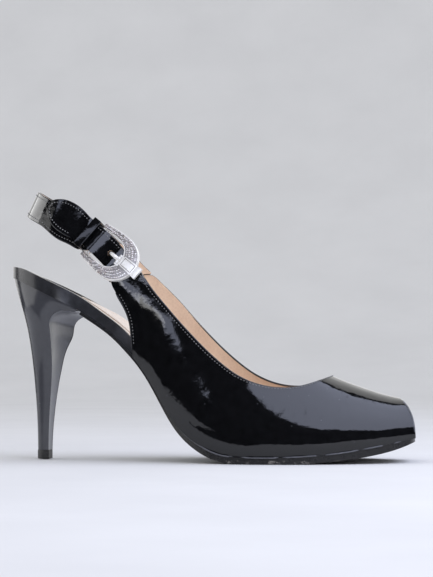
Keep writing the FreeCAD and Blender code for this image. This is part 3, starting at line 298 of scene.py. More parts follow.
# welt line and toe rim: the black patent lightened 22 times, a painted highlight line along the edges
WELT_PATENT_PAINTED_HIGHLIGHT = patent_material("welt_patent_painted_highlight", 0.5, 22.0, 0.30)
THREAD = leather_material("thread_black", (0.11, 0.11, 0.115), (0.26, 0.26, 0.27), 3000.0, 0.35)
STRAP_THREAD = leather_material("thread_grey", (0.13, 0.13, 0.135), (0.30, 0.30, 0.31), 3000.0, 0.35)

NODE_SLOTS = {part["node"]: part["material_slot"] for part in frame["record"]["subparts"]}
for node_name, cad_object in NODES.items():
    cad_object.data.materials.clear()
    cad_object.data.materials.append(MATERIALS[NODE_SLOTS[node_name]])
# heel cover and breast take lightened copies of the black patent: painted light
NODES["heel_cover"].data.materials[0] = HEEL_PATENT_PAINTED_LIGHT
NODES["heel_breast_cover"].data.materials[0] = BREAST_PATENT_PAINTED_LIGHT


# ------------------------------------------------------------------ mesh helpers
def make_piece(name, verts, faces, material, body, smooth=True):
    mesh = bpy.data.meshes.new(name)
    mesh.from_pydata([tuple(v) for v in verts], [], faces)
    mesh.validate()
    mesh.update()
    piece = bpy.data.objects.new(name, mesh)
    bpy.context.scene.collection.objects.link(piece)
    mesh.materials.append(material)
    if smooth:
        mesh.shade_smooth()
    if body:
        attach(piece, body)
    return piece


def fix_normals(piece):
    work = bmesh.new()
    work.from_mesh(piece.data)
    bmesh.ops.recalc_face_normals(work, faces=work.faces)
    work.to_mesh(piece.data)
    work.free()


def welded(node):
    """Welded copy of a CAD node's mesh, as a bmesh."""
    work = bmesh.new()
    work.from_mesh(NODES[node].data)
    bmesh.ops.remove_doubles(work, verts=work.verts, dist=2e-6)
    bmesh.ops.dissolve_degenerate(work, edges=work.edges, dist=1e-6)
    work.normal_update()
    return work


def surface_of(*nodes):
    """Search tree over the triangles of several CAD nodes."""
    verts = []
    faces = []
    for node in nodes:
        data = NODES[node].data
        base = len(verts)
        verts.extend(v.co.copy() for v in data.vertices)
        faces.extend([base + i for i in polygon.vertices] for polygon in data.polygons)
    return BVHTree.FromPolygons(verts, faces)


def resampled(points, step, closed=False):
    """Points walked along a polyline at an even step."""
    pts = [np.array(p, float) for p in points]
    if closed:
        pts.append(pts[0])
    pts = np.array(pts)
    gaps = np.linalg.norm(np.diff(pts, axis=0), axis=1)
    run = np.concatenate([[0.0], np.cumsum(gaps)])
    count = max(int(round(run[-1] / step)), 2)
    places = np.linspace(0.0, run[-1], count + 1)
    if closed:
        places = places[:-1]
    return np.stack([np.interp(places, run, pts[:, k]) for k in range(3)], axis=1)


def smoothed(points, rounds=2, closed=False):
    pts = np.array(points, float)
    for _ in range(rounds):
        before = np.roll(pts, 1, axis=0)
        after = np.roll(pts, -1, axis=0)
        mixed = 0.5 * pts + 0.25 * (before + after)
        if not closed:
            mixed[0] = pts[0]
            mixed[-1] = pts[-1]
        pts = mixed
    return pts


def outer_loop(node, is_outside, angle=38.0):
    """Chains of sharp edges that bound the outer face of a thin shell."""
    work = welded(node)
    picked = []
    for edge in work.edges:
        if len(edge.link_faces) != 2:
            continue
        if edge.calc_face_angle(0.0) < math.radians(angle):
            continue
        middle = (edge.verts[0].co + edge.verts[1].co) / 2.0
        if any(is_outside(middle, face.normal) for face in edge.link_faces):
            picked.append((edge.verts[0].index, edge.verts[1].index))
    places = {v.index: v.co.copy() for v in work.verts}
    work.free()
    links = {}
    for a, b in picked:
        links.setdefault(a, []).append(b)
        links.setdefault(b, []).append(a)
    chains = []
    used = set()
    ends = [v for v in links if len(links[v]) == 1] + list(links)
    for start in ends:
        if start in used:
            continue
        chain = [start]
        used.add(start)
        while True:
            following = [v for v in links[chain[-1]] if v not in used]
            if not following:
                break
            chain.append(following[0])
            used.add(following[0])
        if len(chain) > 3:
            chains.append([places[v] for v in chain])
    return sorted(chains, key=lambda c: -sum((b - a).length for a, b in zip(c, c[1:])))


def tube(name, points, radius, material, body, sides=8, squash=1.0, normals=None,
         closed=False, taper=True):
    """Round or flattened bead along a polyline."""
    pts = [Vector(p) for p in points]
    count = len(pts)
    verts = []
    faces = []
    up = Vector((0.0, 0.0, 1.0))
    for i, p in enumerate(pts):
        before = pts[i - 1] if (i > 0 or closed) else p
        after = pts[(i + 1) % count] if (i < count - 1 or closed) else p
        tangent = (after - before).normalized()
        normal = Vector(normals[i]) if normals is not None else up
        normal = (normal - tangent * normal.dot(tangent))
        if normal.length < 1e-6:
            normal = tangent.orthogonal()
        normal.normalize()
        side = tangent.cross(normal)
        size = radius
        if taper and not closed:
            edge = min(i, count - 1 - i)
            size = radius * min(1.0, 0.25 + 0.3 * edge)
        for k in range(sides):
            turn = 2.0 * math.pi * k / sides
            verts.append(p + side * (math.cos(turn) * size) + normal * (math.sin(turn) * size * squash))
    rings = count if closed else count - 1
    for i in range(rings):
        j = (i + 1) % count
        for k in range(sides):
            m = (k + 1) % sides
            faces.append((i * sides + k, i * sides + m, j * sides + m, j * sides + k))
    if not closed:
        faces.append(tuple(reversed(range(sides))))
        faces.append(tuple((count - 1) * sides + k for k in range(sides)))
    return make_piece(name, verts, faces, material, body)


def stitches(name, points, normals, pitch, length, radius, material, body):
    """Row of separate thread stitches, each a small arched capsule sunk at its ends."""
    line = resampled(points, THREAD_STEP)
    guide = np.array([np.array(n, float) for n in normals])
    source = np.array([np.array(p, float) for p in points])
    verts = []
    faces = []
    per = max(int(round(pitch / THREAD_STEP)), 2)
    half = max(int(round(length / THREAD_STEP / 2)), 1)
    sides = 6
    for centre in range(half, len(line) - half, per):
        start = Vector(line[centre - half])
        end = Vector(line[centre + half])
        nearest = int(np.argmin(np.linalg.norm(source - line[centre], axis=1)))
        normal = Vector(guide[nearest]).normalized()
        tangent = (end - start).normalized()
        normal = (normal - tangent * normal.dot(tangent)).normalized()
        side = tangent.cross(normal)
        wobble = RANDOM.uniform(-0.12, 0.12) * radius
        base = len(verts)
        for share, lift, size in ((0.0, -0.7, 0.35), (0.14, 0.1, 0.85), (0.5, 0.45, 1.0),
                                  (0.86, 0.1, 0.85), (1.0, -0.7, 0.35)):
            p = start.lerp(end, share)
            p = p + normal * (lift * radius) + side * wobble
            for k in range(sides):
                turn = 2.0 * math.pi * k / sides
                verts.append(p + side * (math.cos(turn) * radius * size)
                             + normal * (math.sin(turn) * radius * size))
        for ring in range(4):
            for k in range(sides):
                m = (k + 1) % sides
                low = base + ring * sides
                faces.append((low + k, low + m, low + sides + m, low + sides + k))
        faces.append(tuple(base + k for k in reversed(range(sides))))
        faces.append(tuple(base + 4 * sides + k for k in range(sides)))
    return make_piece(name, verts, faces, material, body)


def inward_row(points, surface, distance, inside, lift=0.0):
    """Line at a distance in from an edge, laid on a surface, with its normals."""
    line = np.array(points)
    row = []
    normals = []
    for i in range(len(line)):
        p = Vector(line[i])
        before = Vector(line[max(i - 2, 0)])
        after = Vector(line[min(i + 2, len(line) - 1)])
        tangent = (after - before).normalized()
        away = inside(p)
        found = surface.find_nearest(p + away * distance)
        normal = found[1]
        if normal.dot(Vector(outward(p))) < 0.0:
            normal = -normal
        into = normal.cross(tangent).normalized()
        if into.dot(away) < 0.0:
            into = -into
        target = p + into * distance
        hit = surface.ray_cast(target + normal * 3.0 * MM, -normal, 6.0 * MM)
        if hit[0] is None:
            found = surface.find_nearest(target)
            place = found[0]
        else:
            place = hit[0]
            if hit[1].dot(normal) > 0.2:
                normal = hit[1]
        row.append(place + normal * lift)
        normals.append(normal)
    return smoothed(row, 3), normals


def outward(p):
    """Rough outward direction of the shoe at a point: away from its middle line."""
    if p.z > 0.085 and p.x < -0.03:
        return Vector((p.x + 0.066, p.y, 0.01)).normalized()
    return Vector((0.15 * max(p.x - 0.06, 0.0) / 0.04, p.y, 0.5 * max(p.z - 0.02, 0.0))).normalized()


# ------------------------------------------------------------------ buckle frame axes
BUCKLE_ORIGIN = Vector((-55.0, -27.0, 110.6)) * MM
NORMAL = Vector((-0.05, -0.975, 0.21)).normalized()
ALONG = Vector((0.765, -0.14, -0.628))
ALONG = (ALONG - NORMAL * ALONG.dot(NORMAL)).normalized()
ACROSS = NORMAL.cross(ALONG).normalized()
FRAME_TOP = 1.2
FRAME_OUTER = [(-1.2, 10.0), (5.0, 11.0), (11.0, 11.6), (17.0, 11.2), (21.8, 8.9), (25.0, 5.0),
               (26.2, 0.2), (25.0, -5.0), (21.8, -9.2), (17.0, -11.6), (11.0, -12.0), (5.0, -11.4),
               (-1.2, -10.4)]
FRAME_INNER = [(-1.2, 7.8), (4.0, 7.9), (8.0, 7.9), (11.8, 7.4), (14.6, 5.9), (16.5, 3.2),
               (17.2, 0.1), (16.5, -3.0), (14.6, -5.7), (11.8, -7.2), (8.0, -7.7), (4.0, -7.7),
               (-1.2, -7.6)]
PLATE = {"start": 18.2, "low": -2.1, "high": 3.7, "thick": 1.2}
STONE_PITCH = 1.02
STONE_RADIUS = 0.50
SETTING_OFFSET = 0.51
DOME_HEIGHT = 0.34
NARROW_FRAME = 3.2


def at_buckle(along, across, out):
    return BUCKLE_ORIGIN + (ALONG * along + ACROSS * across + NORMAL * out) * MM


def spline_through(points, count):
    """Catmull-Rom curve through plane points, evenly resampled."""
    pts = np.array([points[0]] + list(points) + [points[-1]], float)
    dense = []
    for i in range(1, len(pts) - 2):
        p0, p1, p2, p3 = pts[i - 1], pts[i], pts[i + 1], pts[i + 2]
        for s in np.linspace(0.0, 1.0, 16, endpoint=False):
            dense.append(0.5 * ((2 * p1) + (p2 - p0) * s + (2 * p0 - 5 * p1 + 4 * p2 - p3) * s ** 2
                                + (3 * p1 - p0 - 3 * p2 + p3) * s ** 3))
    dense.append(pts[-2])
    dense = np.array(dense)
    run = np.concatenate([[0.0], np.cumsum(np.linalg.norm(np.diff(dense, axis=0), axis=1))])
    places = np.linspace(0.0, run[-1], count)
    return np.stack([np.interp(places, run, dense[:, k]) for k in range(dense.shape[1])], axis=1)


# ------------------------------------------------------------------ upper and its edges
def shoe_outside(place, normal):
    return normal.dot(outward(place)) > 0.25


def runs_of(chain, keep, closed=True):
    """Unbroken stretches of a chain whose points pass a test."""
    flags = [keep(p) for p in chain]
    if all(flags):
        return [list(chain)]
    first = flags.index(False) if closed else 0
    order = list(chain[first:]) + list(chain[:first])
    stretches = []
    now = []
    for p in order:
        if keep(p):
            now.append(p)
        else:
            stretches.append(now)
            now = []
    stretches.append(now)
    long_enough = [s for s in stretches if len(s) > 3 and path_length(s) > 8.0 * MM]
    return sorted(long_enough, key=path_length, reverse=True)


def path_length(points):
    return sum((b - a).length for a, b in zip(points, points[1:]))


def base_line_height(x):
    """Lowest edge of the upper at a station, read from the CAD mesh."""
    near = [v.z for v in UPPER_POINTS if abs(v.x - x) < 1.5 * MM]
    return min(near) if near else 0.0


UPPER_POINTS = [v.co.copy() for v in NODES["upper"].data.vertices]
STATIONS = np.arange(-45.0, 110.0, 1.5) * MM
FEATHER = np.array([base_line_height(x) for x in STATIONS])
UPPER_SURFACE = surface_of("upper")
LATERAL_EAR = Vector((-38.8, -28.0, 90.8)) * MM


def feather_height(x):
    return float(np.interp(x, STATIONS, FEATHER))


def away_from_edge(p):
    """Direction from the upper's rim into the leather: down, and back from the toe or rear edge."""
    if p.x > 0.066:
        return Vector((-1.0, 0.0, -0.2)).normalized()
    if p.x < -0.036 and p.z < 0.089:
        return Vector((1.0, 0.0, -0.1)).normalized()
    if p.z > 0.088 and p.x < -0.030:
        side = LATERAL_EAR if p.y < 0.0 else Vector((LATERAL_EAR.x, -LATERAL_EAR.y, 0.0879))
        return (side - p).normalized()
    return Vector((-0.35, 0.0, -1.0)).normalized()


EDGE_STEP = 1.0 * MM
EDGE_RADIUS = 0.50 * MM
SEAM_INSET = 1.25 * MM
THREAD_RADIUS = 0.26 * MM
STITCH_PITCH = 1.6 * MM
STITCH_LENGTH = 0.8 * MM


def edge_bead(name, points, body, radius=EDGE_RADIUS, sink=0.55 * MM, material=None):
    """Folded leather edge: a soft bead over the cut rim of a shell, by default in the black patent
    lightened as a painted highlight.
    """
    line = smoothed(resampled(points, EDGE_STEP), 2)
    line = [Vector(p) - Vector(outward(Vector(p))) * sink for p in line]
    normals = [outward(p) for p in line]
    return tube(name, line, radius, material or FOLD_PATENT_LIGHTENED, body, 10, 1.0, normals)


def seam(name, points, surface, body, inside, inset=SEAM_INSET, trim=2, thread=THREAD):
    """Row of stitches parallel to an edge."""
    line = smoothed(resampled(points, EDGE_STEP), 2)
    row, normals = inward_row(line, surface, inset, inside)
    row = row[trim:len(row) - trim]
    normals = normals[trim:len(normals) - trim]
    return stitches(name, row, normals, STITCH_PITCH, STITCH_LENGTH, THREAD_RADIUS, thread, body)


def build_upper_edges():
    """Folded topline, quarter edges and peep toe rim, with their stitching."""
    chains = outer_loop("upper", shoe_outside)
    topline = min((c for c in chains if path_length(c) > 0.2), key=path_length)
    edge_bead("topline_fold", topline, "shoe")
    seam("topline_stitches", topline, UPPER_SURFACE, "shoe", away_from_edge)
    rim = [c for c in chains if c is not topline]

    def rear_edge(p):
        return p.x < -0.029 and 0.046 < p.z < 0.0865 and p.z > feather_height(p.x) + 1.2 * MM

    def toe_rim(p):
        return p.x > 0.088 and p.z > feather_height(p.x) + 1.2 * MM

    count = 0
    for chain in rim:
        for stretch in runs_of(chain, rear_edge):
            count += 1
            edge_bead("quarter_fold_%d" % count, stretch, "shoe")
            seam("quarter_stitches_%d" % count, stretch, UPPER_SURFACE, "shoe", away_from_edge)
        for stretch in runs_of(chain, toe_rim):
            count += 1
            # the toe rim bead takes the lightened welt patent: a painted highlight along the toe edge
            edge_bead("toe_rim_fold_%d" % count, stretch, "shoe", 0.55 * MM, 0.45 * MM, WELT_PATENT_PAINTED_HIGHLIGHT)


HEEL_STRAP_MIDDLE = [(-0.0850, 0.1262), (-0.0760, 0.1220), (-0.0675, 0.1184), (-0.0610, 0.1150),
                     (-0.0556, 0.1113)]


def strap_sag(p):
    """Lower half of the strap let down a little just behind the buckle, on the outer side."""
    if p.y > -0.015 or not -0.088 < p.x < -0.054:
        return p.copy()
    stations = [m[0] for m in HEEL_STRAP_MIDDLE]
    heights = [m[1] for m in HEEL_STRAP_MIDDLE]
    middle = float(np.interp(p.x, stations, heights))
    share = ease(middle - p.z, 0.0, 5.5 * MM)
    along = ease(p.x, -0.086, -0.072) * (1.0 - ease(p.x, -0.064, -0.056))
    down = Vector((-0.45, 0.0, -0.9)) * (2.3 * MM * share * along)
    return p + down


def ease(value, low, high):
    share = min(max((value - low) / (high - low), 0.0), 1.0)
    return share * share * (3.0 - 2.0 * share)


def reshaped(node, name, shaped, body):
    """Copy of a CAD part with its points moved, standing for that part."""
    mesh = NODES[node].data.copy()
    mesh.name = name
    place = NODES[node].matrix_world.copy()
    for vert in mesh.vertices:
        vert.co = shaped(place @ vert.co)
    piece = bpy.data.objects.new(name, mesh)
    bpy.context.scene.collection.objects.link(piece)
    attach(piece, body)
    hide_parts(node)
    return piece


def strap_outside(place, normal):
    return normal.dot(outward(place)) > 0.4


def strap_middle(node):
    """Function giving, for a point on a strap's edge, the way to the strap's middle line."""
    points = np.array([v.co for v in NODES[node].data.vertices])

    def inside(p):
        near = points[np.linalg.norm(points - np.array(p), axis=1) < 9.0 * MM]
        if len(near) < 4:
            return Vector((0.0, 0.0, -1.0))
        centre = Vector(near.mean(axis=0))
        return (centre - p).normalized()

    return inside


def clear_of_buckle(p):
    """The edge bead stops short of the bar, where the frame swings past the strap."""
    return p.y > -0.020 or p.x < -0.0625


def build_strap_edges():
    """Folded edges and stitching of both straps."""
    for node in ("heel_strap", "free_strap"):
        surface = surface_of(node)
        inside = strap_middle(node)
        for number, chain in enumerate(outer_loop(node, strap_outside)):
            if path_length(chain) < 30.0 * MM:
                continue
            clear = runs_of(chain, clear_of_buckle)[0] if node == "heel_strap" else chain
            bead = edge_bead("%s_fold_%d" % (node, number), clear, "sling")
            row = seam("%s_stitches_%d" % (node, number), chain, surface, "sling", inside, 1.35 * MM,
                       thread=STRAP_THREAD if node == "free_strap" else THREAD)
            if node == "heel_strap":
                for piece in (bead, row):
                    for vert in piece.data.vertices:
                        vert.co = strap_sag(vert.co)
    for node in ("heel_strap", "heel_strap_lining"):
        reshaped(node, node + "_band", strap_sag, "sling")


def build_hole_shade_disc():
    """Painted shade: dark disc behind the prong hole of the free strap, hiding the tan lining there."""
    lining = surface_of("free_strap_lining")
    place = lining.ray_cast(at_buckle(12.6, 0.1, -9.0), NORMAL)[0]
    depth = (place - BUCKLE_ORIGIN).dot(NORMAL) / MM - 0.12
    verts = [at_buckle(10.2, 0.1, depth)]
    for k in range(24):
        turn = 2.0 * math.pi * k / 24
        verts.append(at_buckle(10.2 + 2.3 * math.cos(turn), 0.1 + 2.3 * math.sin(turn), depth))
    faces = [(0, 1 + k, 1 + (k + 1) % 24) for k in range(24)]
    make_piece("hole_shade_disc", verts, faces, HOLE_SHADE_PAINT, "sling")


# ------------------------------------------------------------------ refined copies of boxy parts
def refined(node, name, width, segments, body, material=None, angle=35.0, shaped=None):
    """Copy of a CAD part with its sharp edges rounded, standing for that part."""
    work = welded(node)
    sharp = [e for e in work.edges if len(e.link_faces) == 2
             and e.calc_face_angle(0.0) > math.radians(angle)]
    bmesh.ops.bevel(work, geom=sharp, offset=width, segments=segments, profile=0.6, affect="EDGES",
                    clamp_overlap=True)
    bmesh.ops.recalc_face_normals(work, faces=work.faces)
    if shaped:
        for vert in work.verts:
            vert.co = shaped(vert.co)
    mesh = bpy.data.meshes.new(name)
    work.to_mesh(mesh)
    work.free()
    piece = bpy.data.objects.new(name, mesh)
    bpy.context.scene.collection.objects.link(piece)
    slot = NODE_SLOTS[node]
    mesh.materials.append(material or MATERIALS[slot])
    mesh.shade_smooth()
    mesh.set_sharp_from_angle(angle=math.radians(50.0))
    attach(piece, body)
    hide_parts(node)
    return piece


# ------------------------------------------------------------------ buckle
def build_frame_rims():
    """Raised polished rims round both outlines of the frame, and the domed bed between them."""
    count = 90
    outer = spline_through(FRAME_OUTER, count)
    inner = spline_through(FRAME_INNER, count)
    for label, share in (("outer", 0.05), ("inner", 0.95)):
        line = outer + (inner - outer) * share
        points = [at_buckle(a, c, FRAME_TOP - 0.12) for a, c in line]
        normals = [NORMAL] * len(points)
        tube("frame_rim_" + label, points, 0.36 * MM, MATERIALS["buckle_metal"], "buckle",
             10, 1.0, normals)
    verts = []
    faces = []
    rows = 9
    for i in range(count):
        for k in range(rows):
            share = 0.06 + 0.88 * k / (rows - 1)
            a, c = outer[i] + (inner[i] - outer[i]) * share
            dome = DOME_HEIGHT * math.sin(math.pi * k / (rows - 1))
            verts.append(at_buckle(a, c, FRAME_TOP + 0.01 + dome))
    for i in range(count - 1):
        for k in range(rows - 1):
            low = i * rows + k
            faces.append((low, low + 1, low + rows + 1, low + rows))
    bed = make_piece("frame_bed", verts, faces, BED_METAL, "buckle")
    fix_normals(bed)


def near_plate(a, c):
    low = PLATE["low"] - 0.7
    high = PLATE["high"] + 0.7
    return a > PLATE["start"] - 1.0 and low < c < high


def build_stones():
    """Rows of tiny cut stones with a bead of metal at each corner between them."""
    outer = spline_through(FRAME_OUTER, 400)
    inner = spline_through(FRAME_INNER, 400)
    gaps = np.linalg.norm(outer - inner, axis=1)
    places = []
    for row, share in enumerate((0.20, 0.40, 0.60, 0.80)):
        line = outer + (inner - outer) * share
        walked = 0.0
        next_stop = 0.5 * STONE_PITCH * (1 + row % 2)
        for i in range(1, 400):
            walked += np.linalg.norm(line[i] - line[i - 1])
            if walked < next_stop:
                continue
            next_stop = walked + STONE_PITCH
            a, c = line[i]
            if near_plate(a, c) or a < -0.7 or (a > 13.0 and abs(c) < 3.4 and share > 0.7):
                continue
            if gaps[i] < NARROW_FRAME and row == 1:
                continue
            turn = math.pi * min(max((share - 0.06) / 0.88, 0.0), 1.0)
            dome = DOME_HEIGHT * math.sin(turn)
            lean = 0.5 * math.cos(turn)
            out_dir = outer[i] - inner[i]
            out_dir = out_dir / np.linalg.norm(out_dir)
            if all((a - q[0]) ** 2 + (c - q[1]) ** 2 > (0.86 * STONE_PITCH) ** 2 for q in places):
                a += RANDOM.uniform(-0.15, 0.15)
                c += RANDOM.uniform(-0.15, 0.15)
                places.append((a, c, dome, lean, out_dir[0], out_dir[1]))
    verts = []
    faces = []
    bead_points = []
    radius = STONE_RADIUS
    for a, c, dome, lean, da, dc in places:
        base = len(verts)
        twist = RANDOM.uniform(0.0, math.pi)
        up = Vector((da * lean * 0.5, dc * lean * 0.5, 1.0)).normalized()
        first = up.orthogonal().normalized()
        second = up.cross(first)
        rings = ((radius, -0.05), (radius * 0.98, 0.12), (radius * 0.80, 0.24), (radius * 0.50, 0.33))
        for ring, (size, height) in enumerate(rings):
            for k in range(8):
                turn = twist + 2.0 * math.pi * (k + 0.5 * (ring % 2)) / 8
                spot = first * (math.cos(turn) * size) + second * (math.sin(turn) * size) + up * height
                verts.append(at_buckle(a + spot.x, c + spot.y, FRAME_TOP + dome + spot.z))
        for ring in range(3):
            low = base + ring * 8
            for k in range(8):
                m = (k + 1) % 8
                faces.append((low + k, low + m, low + 8 + k))
                faces.append((low + m, low + 8 + m, low + 8 + k))
        faces.append(tuple(base + 24 + k for k in range(8)))
        bead_points.append((a + SETTING_OFFSET, c + SETTING_OFFSET, dome))
    stones = make_piece("frame_stones", verts, faces, MATERIALS["crystal"], "buckle", False)
    fix_normals(stones)
    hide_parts("frame_crystals")
    verts = []
    faces = []
    for a, c, dome in bead_points:
        if near_plate(a, c):
            continue
        base = len(verts)
        for ring, (size, height) in enumerate(((0.17, -0.05), (0.17, 0.10), (0.11, 0.2))):
            for k in range(6):
                turn = 2.0 * math.pi * k / 6
                verts.append(at_buckle(a + math.cos(turn) * size, c + math.sin(turn) * size,
                                       FRAME_TOP + dome + height))
        for ring in range(2):
            low = base + ring * 6
            for k in range(6):
                m = (k + 1) % 6
                faces.append((low + k, low + m, low + 6 + m, low + 6 + k))
        faces.append(tuple(base + 12 + k for k in range(6)))
    beads = make_piece("stone_settings", verts, faces, MATERIALS["buckle_metal"], "buckle")
    fix_normals(beads)


def build_plate_details():
    """Plain plate over the apex, with a raised border line and rounded edges."""
    refined("prong_plate", "apex_plate", 0.22 * MM, 3, "buckle")
    top = FRAME_TOP + PLATE["thick"] + 0.03
    start = PLATE["start"] + 0.8
    end = PLATE["start"] + 7.4
    low = PLATE["low"] + 0.9
    high = PLATE["high"] - 0.9
    corners = [(start, low), (end, low), (end, high), (start, high)]
    line = resampled([at_buckle(a, c, top) for a, c in corners], 0.25 * MM, True)
    tube("plate_border", line, 0.16 * MM, BED_METAL, "buckle", 6, 1.0,
         [NORMAL] * len(line), True)


# ------------------------------------------------------------------ sock and other soft parts
def settled(p):
    """Seat pressed down a little towards the inner side, as worn."""
    drop = 1.7 * MM * ease(p.y, -0.012, 0.018) * (1.0 - ease(p.x, -0.048, -0.030))
    return Vector((p.x, p.y, p.z - drop))


def rand_shape(p):
    """Rand standing higher round the back of the seat on the outer side."""
    q = settled(p)
    height = p.z - (98.7 * MM + (p.x + 0.1035) * -0.42)
    top = ease(height, -4.5 * MM, -0.5 * MM)
    rise = 1.1 * MM * (1.0 - ease(p.x, -0.070, -0.052)) * ease(p.x, -0.1035, -0.092)
    rise *= ease(-p.y, -0.004, 0.010) * top
    return Vector((q.x, q.y, q.z + rise))


def build_cushion_creases():
    """Brown beads along the soft creases of the sock leather round the arch cushion under it, their colour
    painted shade in the creases.
    """
    top = surface_of("insock", "arch_cookie")
    for number, (wide, deep) in enumerate(((27.0, 9.0), (33.0, 13.5))):
        line = []
        for k in range(120):
            turn = 2.0 * math.pi * k / 120
            start = Vector((-54.0 + wide * math.cos(turn), 9.0 + deep * math.sin(turn), 130.0)) * MM
            place = top.ray_cast(start, Vector((0.0, 0.0, -1.0)))[0]
            if place is not None:
                line.append(settled(place) - Vector((0.0, 0.0, 0.05 * MM)))
        line = [Vector(p) for p in smoothed(np.array([tuple(p) for p in line]), 2)]
        tube("cushion_crease_shade_%d" % number, line, 0.26 * MM, CREASE_SHADE_BROWN, "shoe", 6, 1.0,
             [Vector((0.0, 0.0, 1.0))] * len(line), True)


def build_soft_parts():
    # the rand roll takes the lightened fold patent: a painted highlight round the seat
    refined("seat_rand", "rand_roll", 0.95 * MM, 4, "shoe", FOLD_PATENT_LIGHTENED, shaped=rand_shape)
    refined("keeper_loop", "keeper_leather", 0.38 * MM, 3, "keeper")
    refined("top_lift", "top_piece", 0.30 * MM, 3, "shoe")
    sock = refined("insock", "sock", 0.32 * MM, 3, "shoe", shaped=settled)
    arch = refined("arch_cookie", "arch_pad", 0.35 * MM, 3, "shoe", shaped=settled)
    smooth_modifier = arch.modifiers.new("soften", "SMOOTH")
    smooth_modifier.iterations = 6
    smooth_modifier.factor = 0.5
    under = refined("insock_pad", "sock_foam", 0.25 * MM, 2, "shoe", shaped=settled)


def build_welt_lines():
    """Raised bead where the upper meets the sole, on both sides, in black patent lightened 22 times: a
    painted highlight line.
    """
    sole = surface_of("outsole")
    for side, label in ((-1.0, "outer"), (1.0, "inner")):
        line = []
        way = Vector((0.0, -side, 0.0))
        for x in np.arange(-50.0, 98.0, 1.0) * MM:
            base = feather_height(x)
            found = None
            for z in np.arange(base - 6.0 * MM, base + 9.0 * MM, 0.2 * MM):
                start = Vector((x, side * 0.08, z))
                below = sole.ray_cast(start, way)
                above = UPPER_SURFACE.ray_cast(start, way)
                if below[0] is not None and (above[0] is None or below[3] < above[3] + 0.1 * MM):
                    found = below[0]
            if found is not None and side * found.y > 0.008:
                line.append(found + Vector((0.0, side * 0.22 * MM, 0.12 * MM)))
        line = [Vector(p) for p in smoothed(np.array([tuple(p) for p in line]), 6)]
        tube("welt_line_" + label, line, 0.36 * MM, WELT_PATENT_PAINTED_HIGHLIGHT, "shoe", 8, 1.0,
             [Vector((0.0, side, 0.0))] * len(line))


def ear_patch(name, nodes, low, high, side, from_inside, material):
    """Supple skin drawn over the joint between the shoe's quarter and the strap."""
    surface = surface_of(*nodes)
    way = side if from_inside else -side
    verts = []
    missing = set()
    count = 26
    for i in range(count):
        for k in range(count):
            x = (low[0] + (high[0] - low[0]) * i / (count - 1)) * MM
            z = (low[1] + (high[1] - low[1]) * k / (count - 1)) * MM
            start = Vector((x, side * (0.0 if from_inside else 0.07), z))
            place = surface.ray_cast(start, Vector((0.0, way, 0.0)))[0]
            if place is None or not 0.020 < side * place.y < 0.036:
                missing.add(len(verts))
                place = Vector((x, side * 0.028, z))
            verts.append(place - Vector((0.0, way * 0.16 * MM, 0.0)))
    faces = []
    for i in range(count - 1):
        for k in range(count - 1):
            corners = (i * count + k, (i + 1) * count + k, (i + 1) * count + k + 1, i * count + k + 1)
            if missing.isdisjoint(corners):
                faces.append(corners)
    patch = make_piece(name, verts, faces, material, None)
    work = bmesh.new()
    work.from_mesh(patch.data)
    bmesh.ops.delete(work, geom=[v for v in work.verts if not v.link_faces], context="VERTS")
    work.to_mesh(patch.data)
    work.free()
    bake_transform(patch)


EAR_PATCHES = (
    ("ear_patch_outer", ("upper", "free_strap"), (-46.5, 85.5), (-33.5, 96.0), -1.0, False),
    ("ear_patch_inner", ("upper", "heel_strap"), (-46.0, 84.5), (-33.0, 95.5), 1.0, False),
    ("ear_lining_outer", ("upper_lining", "free_strap_lining"), (-46.0, 86.0), (-34.0, 95.0), -1.0, True),
    ("ear_lining_inner", ("upper_lining", "heel_strap_lining"), (-45.5, 85.0), (-33.5, 94.5), 1.0, True),
)


def build_ear_patches():
    for name, nodes, low, high, side, from_inside in EAR_PATCHES:
        slot = "tan_lining" if from_inside else "patent_leather"
        ear_patch(name, nodes, low, high, side, from_inside, MATERIALS[slot])


build_upper_edges()
build_strap_edges()
build_hole_shade_disc()
build_welt_lines()
build_ear_patches()
build_frame_rims()
build_stones()
build_plate_details()
build_soft_parts()
build_cushion_creases()


# ------------------------------------------------------------------ floor, lights and camera
def floor_material(name):
    """Plain pale studio floor with a faint mottle."""
    material, tree, shader = new_material(name)
    mottle = noise(tree, object_coordinates(tree), 9.0, 4.0)
    tree.links.new(ramp(tree, mottle, [(0.2, (0.70, 0.70, 0.71)), (0.8, (0.76, 0.76, 0.77))]),
                   shader.inputs["Base Color"])
    set_sockets(shader, Roughness=0.9, Specular_IOR_Level=0.0)
    return material


def build_stage():
    """A pale floor swept up into a backdrop; the leather mirrors only the floor close to it."""
    pale = floor_material("floor_pale")
    profile = [(-4.0, -0.0004), (1.2, -0.0004)]
    for step in range(1, 25):
        turn = math.radians(90.0 * step / 24)
        profile.append((1.2 + 1.4 * math.sin(turn), 1.4 - 1.4 * math.cos(turn)))
    profile.append((2.6, 4.0))
    verts = [(x, y, z) for y, z in profile for x in (-5.0, 5.0)]
    faces = [(2 * i, 2 * i + 1, 2 * i + 3, 2 * i + 2) for i in range(len(profile) - 1)]
    floor = make_piece("floor", verts, faces, pale, None)
    floor.visible_glossy = False
    outline = [(-0.42, -0.066), (-0.15, -0.066), (-0.15, -0.15), (-0.075, -0.15), (-0.075, -0.066),
               (0.02, -0.066), (0.09, -0.135), (0.30, -0.32), (0.30, 0.9), (-0.42, 0.9)]
    near = make_piece("floor_near_shoe", [(x, y, -0.0003) for x, y in outline],
                      [tuple(range(len(outline)))], pale, None)
    near.visible_camera = False
    near.visible_diffuse = False
    near.visible_shadow = False


